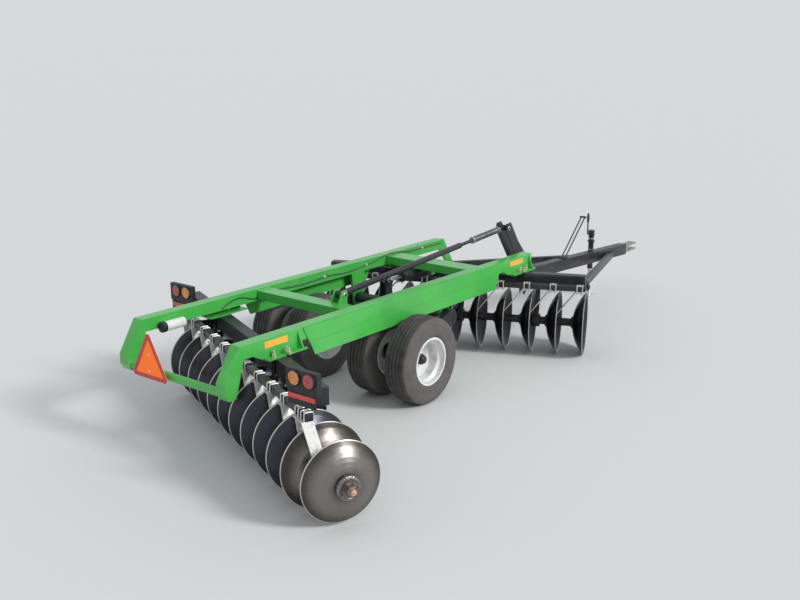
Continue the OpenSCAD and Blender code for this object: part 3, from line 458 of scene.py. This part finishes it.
# Places along a gang count to the left from the machine's centre line. The standards stand in four of the
# gaps between its discs, numbered from the right end, each a little off the gap's middle.
disc_pitch = 0.254
first_disc = {"front_gang": -1.203, "rear_gang": -2.030}
standard_gaps = {"front_gang": np.array([1, 4, 7, 9]), "rear_gang": np.array([2, 4, 7, 10])}
standard_shift = {"front_gang": -0.020, "rear_gang": 0.020}
foot_top = 0.624
foot_bolts_ahead, foot_bolts_along = 0.044, 0.030
foot_nut_height = 0.012
foot_nut = hexagon(0.024, foot_nut_height)
for gang in gangs:
    along = first_disc[gang] + disc_pitch * (standard_gaps[gang] + 0.5) + standard_shift[gang]
    heads = [copies(foot_nut, gang_place(gang, side * foot_bolts_ahead, along + end * foot_bolts_along,
                                         foot_top - foot_nut_height))
             for side in (-1, 1) for end in (-1, 1)]
    put_piece(gang + "_standard_nuts", joined(heads), bright_zinc, "frame")


# Discs and gang shafts
# Twelve dished discs a gang, pressed from boron steel plate. Soil polishes them: the ground edge is bright,
# the dish is worn in rings and the middle keeps its dark mill skin. The rear gang's two right discs are
# painted lighter with a painted highlight ring, as if the sun falls on them and not on the rest.
disc_radius = 0.305
disc_thickness = 0.006
end_disc_radius = 0.280


def vector_step(tree, operation, vector, by=(0, 0, 0)):
    """A vector operation on a vector and a fixed one; a length or a dot product gives a number."""
    node = tree.nodes.new("ShaderNodeVectorMath")
    node.operation = operation
    node.inputs[1].default_value = by
    tree.links.new(vector, node.inputs[0])
    return node.outputs["Value" if operation in ("LENGTH", "DOT_PRODUCT") else "Vector"]


def disc_steel(gang):
    """Worn disc: dark mill skin, worn lighter towards the edge, with a bright rim. The rear gang's two right
    discs get a lighter burnished tint with a bright ring mid-dish. This is painted light standing in for the
    sun on them, so the other discs read as shaded. The distance from the shaft's line is |(place - centre) x
    axis|."""
    material, tree, shader, where = start_finish(gang + "_disc_steel", (0.05, 0.05, 0.06), 0.4, metallic=0.9)
    axis = joint_axis[gang + "_spin"]
    from_centre = vector_step(tree, "SUBTRACT", where, joint_place[gang + "_spin"])
    radius = vector_step(tree, "LENGTH", vector_step(tree, "CROSS_PRODUCT", from_centre, axis))
    wander = combine(tree, "ADD", radius, combine(tree, "MULTIPLY", clouds(tree, where, 0.08, 6), 0.05))
    worn = span(tree, wander, 0.15, 0.32)
    skin = tint(tree, worn, (0.020, 0.021, 0.030), (0.055, 0.056, 0.070))
    near_rim = radius
    # Painted light: a lighter burnished tint with a painted highlight ring mid-dish on the rear gang's two
    # right discs, standing in for sun on them; the other discs keep the darker skin, which reads as painted
    # shade.
    if gang == "rear_gang":
        along = vector_step(tree, "DOT_PRODUCT", where, axis)
        right_end = float(np.dot(gang_place(gang, 0, first_disc[gang], 0), axis))
        burnish_and_painted_light = tint(tree, span(tree, wander, 0.08, 0.17), (0.100, 0.090, 0.083), (0.25, 0.227, 0.208))
        burnish_and_painted_light = tint(tree, span(tree, wander, 0.21, 0.31), burnish_and_painted_light, (0.066, 0.059, 0.053))
        skin = tint(tree, span(tree, along, right_end + 0.44, right_end + 0.38), skin, burnish_and_painted_light)
        on_end_disc = span(tree, along, right_end + 0.12, right_end + 0.11)
        near_rim = combine(tree, "ADD", radius,
                           combine(tree, "MULTIPLY", on_end_disc, disc_radius - end_disc_radius))
    rings = clouds(tree, radius, 0.004, 3)
    ringed = tint(tree, span(tree, rings, 0.35, 0.65, 0.0, 0.12), skin, (0.045, 0.044, 0.048))
    soil = combine(tree, "MULTIPLY", span(tree, clouds(tree, where, 0.05, 8), 0.52, 0.8), 0.3)
    soiled = tint(tree, soil, ringed, (0.10, 0.08, 0.065))
    rim = span(tree, near_rim, disc_radius - 0.006, disc_radius - 0.002)
    tree.links.new(tint(tree, rim, soiled, (0.62, 0.60, 0.57)), shader.inputs["Base Color"])
    polish = span(tree, clouds(tree, where, 0.06, 5), 0.3, 0.75, 0.26, 0.40)
    tree.links.new(polish, shader.inputs["Roughness"])
    relief(tree, shader, rings, 0.00003)
    return material


for gang in gangs:
    dress(gang.replace("gang", "discs"), disc_steel(gang))
    dress(gang + "_shaft", cast_black, edge=0.0015)

# End bells: cast washers with a fluted skirt that press the end discs, under the shaft's big nut.
bell_radius = 0.088
bell_flutes = 26
flute_depth = 0.0035
disc_count = 12
shaft_height = joint_place["rear_gang_spin"][2]
shaft_tip = 0.0965
nut_width = 0.0736
nut_start = 0.032
bolt_past_nut = 0.0205
bolt_radius = 0.022
nut_seat = turned([(0.047, 0), (0.047, 0.0345)], 40)


def end_bell():
    """Fluted washer: its radius is carved by 1 + cos(flutes a), more where the profile is wide."""
    profile = np.array([(0.040, 0.0055), (bell_radius, 0.0055), (bell_radius, 0.012),
                        (bell_radius - 0.003, 0.024), (0.074, 0.031), (0.066, 0.0315), (0.058, 0.026),
                        (0.040, 0.026)])
    a = 2 * np.pi * np.arange(bell_flutes * 6) / (bell_flutes * 6)
    wide = np.clip((profile[:, :1] - 0.068) / 0.014, 0, 1)
    flutes = flute_depth * wide * (0.5 + 0.5 * np.cos(bell_flutes * a))
    return turned(profile, len(a), ring=True, carved=flutes)


raw_rust = plated("raw_rust", (0.78, 0.50, 0.34), (0.58, 0.28, 0.14), 0.6)
worn_casting = plated("worn_casting", (0.30, 0.265, 0.245), (0.13, 0.115, 0.105), 0.36)
for gang, hollow in (("front_gang", -1), ("rear_gang", 1)):
    axis = joint_axis[gang + "_spin"]
    bells, nuts, ends = [], [], []
    for outward in (-1, 1):
        along = first_disc[gang] + (disc_pitch * (disc_count - 1) if outward > 0 else 0)
        face = along + outward * (disc_thickness if outward == hollow else 0)
        reach = abs(along + outward * shaft_tip - face)
        turn = standing_on(outward * axis, gang_forward(gang))
        spot = gang_place(gang, -shaft_behind_beam, face, shaft_height)
        nut = hexagon(nut_width, reach - bolt_past_nut - nut_start, 0.004)
        bolt_end = turned([(bolt_radius, reach - 0.022), (bolt_radius, reach - 0.002), (0.019, reach)], 28)
        bells.append(copies(end_bell(), spot, turn))
        nuts.append(copies(nut, spot + outward * axis * nut_start, turn))
        nuts.append(copies(nut_seat, spot, turn))
        ends.append(copies(bolt_end, spot, turn))
    put_piece(gang + "_end_bells", joined(bells), worn_casting, gang)
    put_piece(gang + "_end_nuts", joined(nuts), worn_casting, gang)
    put_piece(gang + "_bolt_ends", joined(ends), raw_rust, gang)


# Scraper bars and scrapers
# Square bar behind each beam. A bent strip of bare spring steel scrapes each disc's hollow side; a pair of
# U-bolts over the bar pulls its foot up under the bar, with a pale clamp plate between them.
dress("front_scraper_bar", black_enamel, edge=0.003)
dress("rear_scraper_bar", black_enamel, edge=0.003)

bare_steel, tree, shader, where = start_finish("bare_strip_steel", (0.62, 0.62, 0.60), 0.42, metallic=0.45)
streaks = clouds(tree, where, 0.02, 6, stretch=(1, 1, 0.2))
worn_strip = tint(tree, span(tree, streaks, 0.35, 0.7), (0.74, 0.73, 0.70), (0.56, 0.55, 0.53))
strip_rust = span(tree, clouds(tree, where, 0.06, 8), 0.6, 0.85, 0.0, 0.4)
tree.links.new(tint(tree, strip_rust, worn_strip, (0.30, 0.20, 0.13)), shader.inputs["Base Color"])
tree.links.new(span(tree, streaks, 0.3, 0.7, 0.34, 0.6), shader.inputs["Roughness"])
relief(tree, shader, streaks, 0.0002)
dress("front_scrapers", bare_steel, edge=0.0015)
dress("rear_scrapers", bare_steel, edge=0.0015)


def slab(outline, low, high):
    """Prism: an outline of (x, y) points carried from z = low to z = high."""
    outline = np.asarray(outline, float)
    count = len(outline)
    points = np.concatenate([np.column_stack([outline, np.full(count, z)]) for z in (low, high)])
    cap = np.arange(count)[None]
    return points, [grid_faces(2, count), cap[:, ::-1], cap + count]


bar_behind = -0.207
bar_half = 0.0255
bar_height = 0.680
strip_thickness = 0.008
clamp_rod = 0.0055
clamp_leg = bar_half + clamp_rod + 0.0005
clamp_bolt = saddle_bolt(clamp_leg, bar_half + clamp_rod, -bar_half - strip_thickness - 0.018, clamp_rod)
clamp_nuts = copies(hexagon(0.017, 0.010),
                    [(side * clamp_leg, 0, -bar_half - strip_thickness - 0.0105) for side in (-1, 1)])
clamp_pair = copies(joined([clamp_bolt, clamp_nuts]), [(0, -0.026, 0), (0, 0.026, 0)])
plate_outline = [(-0.024, -0.014), (0.024, -0.014), (0.024, 0.014), (-0.024, 0.014)]
clamp_plate = slab(plate_outline, bar_half, bar_half + 0.006)
# Along the gang from a disc to its clamp; the rear gang's right end disc has a clamp of its own further in.
clamp_offset = {"front_gang": -0.316, "rear_gang": 0.210}
end_clamp_offset = 0.367
for gang in gangs:
    along = first_disc[gang] + disc_pitch * np.arange(1, disc_count) + clamp_offset[gang]
    if gang == "rear_gang":
        along = np.append(along, first_disc[gang] + end_clamp_offset)
    turn = standing_on((0, 0, 1), gang_forward(gang))
    spots = gang_place(gang, bar_behind, along, bar_height)
    put_piece(gang + "_scraper_clamps", copies(clamp_pair, spots, turn), bright_zinc, "frame")
    put_piece(gang + "_clamp_plates", copies(clamp_plate, spots, turn), bare_steel, "frame")


# Axle and its arms
# Rockshaft of heavy steel tube with a lift lever, and an arm between the wheels of each pair. All is welded
# up as one piece, enamelled black, and turns in the frame's lugs.
for axle_node in ("rockshaft", "right_arm", "left_arm"):
    dress(axle_node, black_enamel, edge=0.003)


# Tyres
# Ribbed implement tyres of moulded black rubber, grey with field dust: five ribs round the tread with
# grooves between them, a round shoulder and two raised rings on each wall.
wheel_pairs = (("right", "wheels_right"), ("left", "wheels_left"))
tyre_radius = twin_middle[2]
tyre_half_width = 0.1205
tyre_bead_radius = 0.196
rib_count = 5
groove_depth = 0.012
tread_half = 0.092
wall_rings = ((0.315, 0.0022, 0.0022), (0.245, 0.0018, 0.0030))  # radius, height, half width of each

rubber, tree, shader, where = start_finish("dusty_rubber", (0.035, 0.034, 0.033), 0.8)
shader.inputs["Specular IOR Level"].default_value = 0.3
road_film = span(tree, clouds(tree, where, 0.11, 8), 0.3, 0.75, 0.25, 0.75)
grit = combine(tree, "MULTIPLY", span(tree, clouds(tree, where, 0.007, 3), 0.5, 0.75), 0.3)
in_wheel = vector_step(tree, "MULTIPLY", vector_step(tree, "SUBTRACT", where, twin_middle), (1, 0, 1))
from_hub = vector_step(tree, "LENGTH", in_wheel)
sunken = span(tree, from_hub, tyre_radius - 0.004, tyre_radius - 0.011, 0.0, 0.45)
film = combine(tree, "ADD", combine(tree, "ADD", road_film, grit), sunken)
tree.links.new(tint(tree, film, (0.034, 0.033, 0.034), (0.128, 0.118, 0.113)), shader.inputs["Base Color"])
relief(tree, shader, clouds(tree, where, 0.003, 4), 0.0006)


def tyre_profile():
    """Section (r, y) from bead to bead: walls on ellipses with moulded rings, each a bell curve of r, a
    shoulder, and a crowned tread cut by sloped grooves midway between the ribs' middles."""
    wall = np.radians(np.linspace(-62, 60, 22))
    wall_low, wall_high = tyre_bead_radius + 0.020, tyre_radius - 0.038
    r_wall = (wall_low + wall_high) / 2 + (wall_high - wall_low) / 2 * np.sin(wall)
    y_wall = tyre_half_width * (0.9 + 0.1 * np.cos(wall))
    for ring_radius, ring_height, ring_width in wall_rings:
        y_wall = y_wall + ring_height * np.exp(-((r_wall - ring_radius) / ring_width) ** 2)
    bead_half = tyre_half_width * 0.86
    side = np.concatenate([[(tyre_bead_radius, tyre_half_width * 0.80), (tyre_bead_radius, bead_half),
                            (0.2115, bead_half), (0.2155, bead_half + 0.004)],
                           np.column_stack([r_wall, np.minimum(y_wall, tyre_half_width)]),
                           [(tyre_radius - 0.0200, tyre_half_width * 0.895),
                            (tyre_radius - 0.0120, tyre_half_width * 0.850)]])
    y = np.linspace(tread_half, -tread_half, 97)
    rib = 2 * tread_half / rib_count
    off_groove = np.abs(y / rib % 1 - 0.5) * rib
    cut = groove_depth * (1 - np.clip((off_groove - 0.0028) / 0.0032, 0, 1))
    inside = np.abs(y) < tread_half - 0.3 * rib
    r_tread = tyre_radius - 0.0045 * (np.abs(y) / tread_half) ** 2.5 - np.where(inside, cut, 0)
    return np.concatenate([side, np.column_stack([r_tread, y]), side[::-1] * (1, -1)])


def tyre_shape(y_middle):
    """The section turned about the axle's line: (x, z) = r (cos a, sin a)."""
    points, faces = turned(tyre_profile(), 120, ring=True)
    return points[:, [0, 2, 1]] + (twin_middle[0], y_middle, tyre_radius), faces


for side_name, body in wheel_pairs:
    for which in ("outer", "inner"):
        node = f"{side_name}_{which}_tyre"
        low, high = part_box(node)
        shape = tyre_shape((low[1] + high[1]) / 2)
        tyre = put_piece(f"{side_name}_{which}_ribbed_tyre", shape, rubber, body)
        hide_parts(node)


# Rims, hubs and wheel bolts
# Deep-dish steel rims in white enamel, bolted by their centre to cast hubs; inside are greased bearings
# under a pressed cap.
white_enamel = sprayed_paint("white_enamel", (0.80, 0.81, 0.80), (0.72, 0.73, 0.72), 0.35, 0.55, coat=0.3)
for side_name, body in wheel_pairs:
    dress(side_name + "_rims", white_enamel)
    dress(side_name + "_hubs", cast_black, edge=0.0015)

wheel_bolt_circle = 0.0605
wheel_bolt_count = 6
rim_disc_face = 0.167
hub_nose_end = 0.210
bolt_angles = 2 * np.pi * (np.arange(wheel_bolt_count) + 0.25) / wheel_bolt_count
bolt_ring = np.column_stack([wheel_bolt_circle * np.cos(bolt_angles),
                             wheel_bolt_circle * np.sin(bolt_angles),
                             np.full(wheel_bolt_count, rim_disc_face)])
wheel_bolt = joined([turned([(0.013, 0), (0.013, 0.002)], 16), copies(hexagon(0.021, 0.014), (0, 0, 0.002))])
ring_of_bolts = copies(wheel_bolt, bolt_ring)
cap_curve = np.radians(np.linspace(0, 84, 7))
cap_dome = np.column_stack([0.036 * np.cos(cap_curve), 0.028 + 0.014 * np.sin(cap_curve)])
cap_skirt = [(0.046, -0.030), (0.046, 0.008), (0.040, 0.011), (0.038, 0.024)]
grease_cap = turned(np.concatenate([cap_skirt, cap_dome]), 32)
for side_name, body in wheel_pairs:
    centre = joint_place[body + "_spin"]
    bolts, caps = [], []
    for outward in (-1, 1):
        turn = standing_on((0, outward, 0))
        bolts.append(copies(ring_of_bolts, centre, turn))
        caps.append(copies(grease_cap, centre + (0, outward * hub_nose_end, 0), turn))
    put_piece(side_name + "_wheel_bolts", joined(bolts), bright_zinc, body)
    put_piece(side_name + "_grease_caps", joined(caps), cast_black, body)


# Lift cylinder
# Welded hydraulic cylinder: a black barrel with a screwed gland and two ports, and a chromed rod. It is
# pinned between the front crossbeam and the rockshaft's lever.
chrome, tree, shader, where = start_finish("chromed_rod", (0.72, 0.73, 0.74), 0.14, metallic=1.0)
scuff = clouds(tree, where, 0.03, 7)
tree.links.new(tint(tree, span(tree, scuff, 0.5, 0.8), (0.74, 0.75, 0.76), (0.48, 0.46, 0.43)),
               shader.inputs["Base Color"])
tree.links.new(span(tree, scuff, 0.4, 0.8, 0.12, 0.42), shader.inputs["Roughness"])
dress("lift_barrel", black_enamel, edge=0.002)
dress("lift_rod", chrome, edge=0.0015)

lift_direction = joint_axis["lift_slide"]
lift_anchor = joint_place["lift_swing"]
gland = turned([(0.024, 0.438), (0.049, 0.438), (0.0505, 0.441), (0.0505, 0.457), (0.047, 0.461),
                (0.024, 0.461)], 36, ring=True)
port = joined([turned([(0.013, 0.030), (0.013, 0.060)], 14), copies(hexagon(0.022, 0.012), (0, 0, 0.052))])
port_up = np.array([-lift_direction[2], 0, lift_direction[0]])
port_up *= np.sign(port_up[2])
port_places = [lift_anchor + lift_direction * at for at in (0.090, 0.405)]
cylinder_parts = [copies(gland, lift_anchor, standing_on(lift_direction, (0, 1, 0))),
                  copies(port, port_places, standing_on(port_up))]
put_piece("cylinder_gland_and_ports", joined(cylinder_parts), black_enamel, "lift_barrel")


# Tongue
# Black tongue of square tube with two braces, hinged on the frame; its mast holds the leveling rod, and
# the clevis, jack and hose holder stand on its front half.
for tongue_node in ("tongue_beam", "right_brace", "left_brace", "mast", "jack", "hose_holder"):
    dress(tongue_node, black_enamel, edge=0.0025 if tongue_node != "hose_holder" else 0)
rubbed_zinc = plated("rubbed_zinc", (0.46, 0.44, 0.42), (0.28, 0.26, 0.25), 0.44)
dress("hitch_clevis", rubbed_zinc, edge=0.003)
moulded_grip = sprayed_paint("moulded_grip", (0.020, 0.020, 0.021), (0.028, 0.028, 0.030), 0.6, 0.3,
                             coat=0.0)
dress("jack_leg", bright_zinc, edge=0.0015)

# The jack's tube is banded by three pressed collars and its crank ends in a turned grip.
jack_place = under_axle + (4.100, -0.209, 0)
jack_band = turned([(0.031, 0), (0.036, 0.001), (0.036, 0.009), (0.031, 0.010)], 32)
band_places = [jack_place + (0, 0, z) for z in (0.435, 0.560, 0.690)]
grip_curve = np.linspace(0, 1, 12)
grip = turned(np.column_stack([0.011 + 0.004 * np.sin(np.pi * grip_curve), 0.105 * grip_curve]), 18)
grip_place = jack_place + (-0.100, 0, 0.897)
put_piece("jack_collars", copies(jack_band, band_places), bright_zinc, "tongue")
put_piece("jack_grip", copies(grip, grip_place), moulded_grip, "tongue")

# Pins: both ends of the lift cylinder and of the leveling rod turn on a pin with plated heads.
mast_pin = under_axle + (2.010, 0, 1.150)
level_length = float(np.linalg.norm((mast_pin - joint_place["level_swing"]) * (1, 0, 1)))
lift_length = 0.7064
pin_head = turned([(0.019, 0), (0.020, 0.0015), (0.020, 0.0065), (0.018, 0.008)], 24)
pin_rows = [
    # place of the pin, half length over its ears, body that holds it
    (joint_place["lift_swing"], 0.043, "frame"),
    (joint_place["level_swing"], 0.048, "frame"),
    (joint_place["level_swing"] + joint_axis["level_slide"] * level_length, 0.063, "tongue"),
    (joint_place["lift_swing"] + joint_axis["lift_slide"] * lift_length, 0.042, "axle"),
]
for number, (place, half, body) in enumerate(pin_rows):
    heads = [copies(pin_head, place + (0, side * half, 0), standing_on((0, side, 0))) for side in (-1, 1)]
    put_piece(f"pin_heads_{number}", joined(heads), bright_zinc, body)


# Leveling rod and its spring
# Long steel tube with a screwed rod, both enamelled black, from the rear crossbeam to the tongue's mast. A
# coil spring of plated wire is held on the rod between two collars.
dress("level_tube", black_enamel, edge=0.0015)
dress("level_rod", black_enamel, edge=0.0015)
spring_steel = plated("spring_steel", (0.30, 0.30, 0.31), (0.15, 0.15, 0.16), 0.4)
level_direction = joint_axis["level_slide"]
level_pin = joint_place["level_swing"]
spring_from, spring_to = 1.930, 2.370
coil_radius = 0.0265
spring_wire = 0.0045
spring_turns = 26
level_turn = standing_on(level_direction, (0, 1, 0))


def coil_spring():
    """Helix (R cos a, R sin a, z): z follows t - 0.18 sin(2 pi t) / (2 pi), so the end turns lie closer."""
    t = np.linspace(0, 1, spring_turns * 18)
    ease = t - 0.18 * np.sin(2 * np.pi * t) / (2 * np.pi)
    angle = 2 * np.pi * spring_turns * t
    z = spring_from + spring_wire + (spring_to - spring_from - 2 * spring_wire) * ease
    helix = np.column_stack([coil_radius * np.cos(angle), coil_radius * np.sin(angle), z])
    return bar_along(helix, spring_wire, 8)


spring = put_piece("leveling_coil_spring", copies(coil_spring(), level_pin, level_turn), spring_steel,
                   "level_rod")
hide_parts("level_spring")
collar_width, collar_gap = 0.007, 0.001
collar = turned([(0.0165, 0), (0.035, 0), (0.035, collar_width), (0.0165, collar_width)], 28, ring=True)
collar_starts = (spring_from - collar_gap - collar_width, spring_to + collar_gap)
collar_places = [level_pin + level_direction * at for at in collar_starts]
put_piece("spring_collars", copies(collar, collar_places, level_turn), bright_zinc, "level_rod")


# Lamps and reflectors
# Two moulded lamp boxes on plate brackets, each with an amber and a red round lens and a red strip below;
# flat amber reflectors on the rails.


def stained_finish(name, colour, stain, roughness, patch, share, grain, coat=0.0):
    """Moulded plastic or coated sheet: the colour goes over to the stain in patches, over a fine grain.
    patch is (size, detail), share is (start, end, most) and grain is (size, depth)."""
    material, tree, shader, where = start_finish(name, colour, roughness, coat=coat)
    start, end, most = share
    stained = tint(tree, span(tree, clouds(tree, where, *patch), start, end, 0.0, most), colour, stain)
    tree.links.new(stained, shader.inputs["Base Color"])
    relief(tree, shader, clouds(tree, where, grain[0], 2), grain[1])
    return material


moulded = stained_finish("moulded_black", (0.013, 0.014, 0.016), field_dust, 0.5, (0.06, 8),
                         (0.5, 0.85, 0.3), (0.0015, 0.0002))
for box_node in ("right_lamp_box", "left_lamp_box"):
    dress(box_node, moulded, edge=0.004)
dress("lamp_brackets", black_enamel, edge=0.001)


def lens_plastic(name, colour, deep, cell):
    """Clear coloured plastic over a dimpled mirror: small lens cells in relief, a strong coat and a weak glow
    of its own colour. The glow is painted light standing in for sun on the unlit lenses and reflectors.
    """
    material, tree, shader, where = start_finish(name, colour, 0.22, coat=0.8)
    cells = tree.nodes.new("ShaderNodeTexVoronoi")
    cells.inputs["Scale"].default_value = 1 / cell
    tree.links.new(where, cells.inputs["Vector"])
    tree.links.new(tint(tree, span(tree, cells.outputs["Distance"], 0.1, 0.6), colour, deep),
                   shader.inputs["Base Color"])
    relief(tree, shader, cells.outputs["Distance"], 0.0015)
    # Painted light: the lenses and reflector strips are unlit, so this glow stands in for light falling on
    # them.
    shader.inputs["Emission Color"].default_value = (*colour, 1)
    shader.inputs["Emission Strength"].default_value = 0.12
    return material


amber_lens = lens_plastic("amber_lens", (0.92, 0.36, 0.05), (0.42, 0.12, 0.02), 0.009)
red_lens = lens_plastic("red_lens", (0.62, 0.07, 0.05), (0.20, 0.010, 0.010), 0.009)
amber_strip = lens_plastic("amber_strip", (0.97, 0.50, 0.04), (0.86, 0.42, 0.03), 0.003)
red_strip = lens_plastic("red_strip", (0.72, 0.03, 0.03), (0.58, 0.02, 0.02), 0.003)
dress("amber_lenses", amber_lens)
dress("amber_reflectors", amber_strip)
dress("red_lenses", red_lens)
dress("red_reflectors", red_strip)

# Each lens sits in a moulded bezel, and a moulded bead runs along the upper and lower edge of each strip.
lens_radius = 0.050
lamp_box_width = 0.278
lens_aside = 0.23 * lamp_box_width
lens_height = 0.903
strip_height, strip_half, trim_half = 0.781, 0.0205, 0.121
facing_rear = standing_on((-1, 0, 0))
bezels, trims = [], []
bezel = turned([(lens_radius - 0.002, -0.001), (lens_radius + 0.0065, -0.001), (lens_radius + 0.0065, 0.006),
                (lens_radius + 0.003, 0.0115), (lens_radius - 0.002, 0.0105)], 40, ring=True)
for box_node in ("right_lamp_box", "left_lamp_box"):
    low, high = (np.array(corner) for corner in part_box(box_node))
    middle = (low[1] + high[1]) / 2
    for side in (-1, 1):
        bezels.append(copies(bezel, (low[0], middle + side * lens_aside, lens_height), facing_rear))
        trim = [(low[0] - 0.002, middle + y, strip_height + side * strip_half)
                for y in (-trim_half, trim_half)]
        trims.append(bar_along(np.linspace(*trim, 9), 0.0035, 8))
put_piece("lens_bezels", joined(bezels), moulded, "frame")
put_piece("strip_trims", joined(trims), moulded, "frame")


# Slow-vehicle sign
# Three-cornered aluminium sheet in fluorescent orange with a border of dark red reflecting tape, bolted to
# a clamp on the cross tube.
orange_sheet = stained_finish("orange_sheet", (0.98, 0.16, 0.012), (0.90, 0.15, 0.018), 0.45, (0.12, 6),
                              (0.4, 0.75, 1.0), (0.004, 0.0001))
shader = orange_sheet.node_tree.nodes["Principled BSDF"]
shader.inputs["Specular IOR Level"].default_value = 0.3
# Painted light: the sheet is no lamp; this weak glow lifts its orange as if the sun were on it.
shader.inputs["Emission Color"].default_value = (1.0, 0.19, 0.01, 1)
shader.inputs["Emission Strength"].default_value = 0.30
dress("slow_sign", orange_sheet)
dress("sign_bracket", black_enamel, edge=0.001)

sign_low, sign_high = (np.array(corner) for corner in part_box("slow_sign"))
sign_middle = (sign_low[1] + sign_high[1]) / 2
sign_half = (sign_high[1] - sign_low[1]) / 2
sign_height = sign_high[2] - sign_low[2]
cut_across, cut_up = 0.018, 0.030
border = 0.034


def sign_outline(inset):
    """Three-cornered outline (y, z) with cut corners, drawn in by inset all round: at height z its half
    width is half - (z - cut) slope - inset sqrt(1 + slope^2)."""
    slope = (sign_half - cut_across) / (sign_height - cut_up)
    heights = np.array([cut_up + 0.25 * inset, sign_height - 1.5 * inset])
    corner, top = sign_half - (heights - cut_up) * slope - inset * math.hypot(slope, 1)
    left = np.array([(-top, heights[1]), (-corner, heights[0]), (-corner + cut_across, inset)])
    return np.concatenate([left[1:], left[:0:-1] * (-1, 1), left[:1] * (-1, 1), left[:1]])


red_border = stained_finish("red_border_sheet", (0.58, 0.035, 0.03), (0.42, 0.03, 0.03), 0.35, (0.05, 6),
                            (0.4, 0.75, 1.0), (0.002, 0.0001), coat=0.4)
tape_face = sign_low[0] - 0.0012
loops = [np.column_stack([np.full(len(line), x), sign_middle + line[:, 0], sign_low[2] + line[:, 1]])
         for x, line in ((sign_low[0], sign_outline(0.001)), (tape_face, sign_outline(0.001)),
                         (tape_face, sign_outline(border)), (sign_low[0], sign_outline(border)))]
put_piece("sign_border", (np.concatenate(loops), [grid_faces(4, 6, wrap_rows=True)]), red_border, "frame")
sign_bolt = turned([(0.011, 0), (0.011, 0.002), (0.007, 0.0045), (0.003, 0.0055)], 18)
sign_bolts = [(sign_low[0], sign_middle, sign_low[2] + z) for z in (0.06, 0.19)]
put_piece("sign_bolts", copies(sign_bolt, sign_bolts, facing_rear), bright_zinc, "frame")


# Document canister and oil line
# Moulded white canister with a ribbed black cap, strapped inside the left rail; beside it the steel oil
# line runs forward in clips.
canister_white = stained_finish("canister_white", (0.78, 0.78, 0.75), field_dust, 0.5, (0.07, 8),
                                (0.45, 0.8, 0.45), (0.002, 0.0001))
dress("manual_canister", canister_white, edge=0.003)
can_low, can_high = (np.array(corner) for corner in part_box("manual_canister"))
can_middle = (can_low + can_high) / 2
can_radius = (can_high[2] - can_low[2]) / 2
cap_ribs = 36


def ribbed_cap():
    """Screw cap 3 mm wider than the can, its side carved by 1 + cos(ribs a) up to 1 mm, with a flat end."""
    a = 2 * np.pi * np.arange(cap_ribs * 6) / (cap_ribs * 6)
    profile = np.array([(0.036, -0.004), (can_radius + 0.002, -0.003), (can_radius + 0.003, 0.0),
                        (can_radius + 0.003, 0.032), (can_radius - 0.001, 0.036)])
    grooves = 0.001 * (0.5 + 0.5 * np.cos(cap_ribs * a)) * (profile[:, :1] > can_radius)
    return turned(profile, len(a), carved=grooves)


cap_place = (can_low[0] + 0.033, can_middle[1], can_middle[2])
put_piece("canister_cap", copies(ribbed_cap(), cap_place, facing_rear), moulded, "frame")

oiled_steel = plated("oil_line_steel", (0.16, 0.16, 0.17), (0.09, 0.09, 0.10), 0.42)
dress("oil_line", oiled_steel)

# Clips of bent strip hold the line, and a lamp cable runs beside it in a loop over its own clip. Each place
# is (distance ahead of the axle, height above the floor).
line_clips = [(-0.440, 0.869), (0.200, 0.8625), (0.800, 0.8700), (1.700, 0.886)]
rail_inner_y = under_axle[1] + rail_inner_face
clip_arch = np.radians(np.linspace(0, 180, 9))
clip_curve = np.column_stack([np.cos(clip_arch) * 0.0085, np.sin(clip_arch) * 0.0085 + 0.006])
clip_outline = np.concatenate([[(0.022, 0.0), (0.022, 0.002), (0.0085, 0.002)], clip_curve[1:-1],
                               [(-0.0085, 0.002), (-0.022, 0.002), (-0.022, 0.0)]])
clip = slab(clip_outline, -0.009, 0.009)
clip_turn = np.array([[0, 0, 1], [0, -1, 0], [1, 0, 0]], float)
clip_spots = [(under_axle[0] + x, rail_inner_y, z) for x, z in line_clips]
put_piece("oil_line_clips", copies(clip, clip_spots, clip_turn), bright_zinc, "frame")

cable_radius = 0.0045
cable_shape = [(-1.060, 0.830), (-0.985, 0.868), (-0.900, 0.884), (-0.817, 0.880), (-0.730, 0.846),
               (-0.660, 0.838), (-0.500, 0.846), (-0.440, 0.857)]


def eased(route, rounds=3):
    """Cuts each corner of a route at a quarter and three quarters of its sides, a few times over."""
    route = np.asarray(route, float)
    for _ in range(rounds):
        near, far = route[:-1] * 0.75 + route[1:] * 0.25, route[:-1] * 0.25 + route[1:] * 0.75
        route = np.concatenate([route[:1], np.stack([near, far], 1).reshape(-1, route.shape[1]), route[-1:]])
    return route


cable_route = [(under_axle[0] + x, rail_inner_y - cable_radius, z) for x, z in cable_shape]
put_piece("lamp_cable", bar_along(eased(cable_route), cable_radius, 10), moulded, "frame")
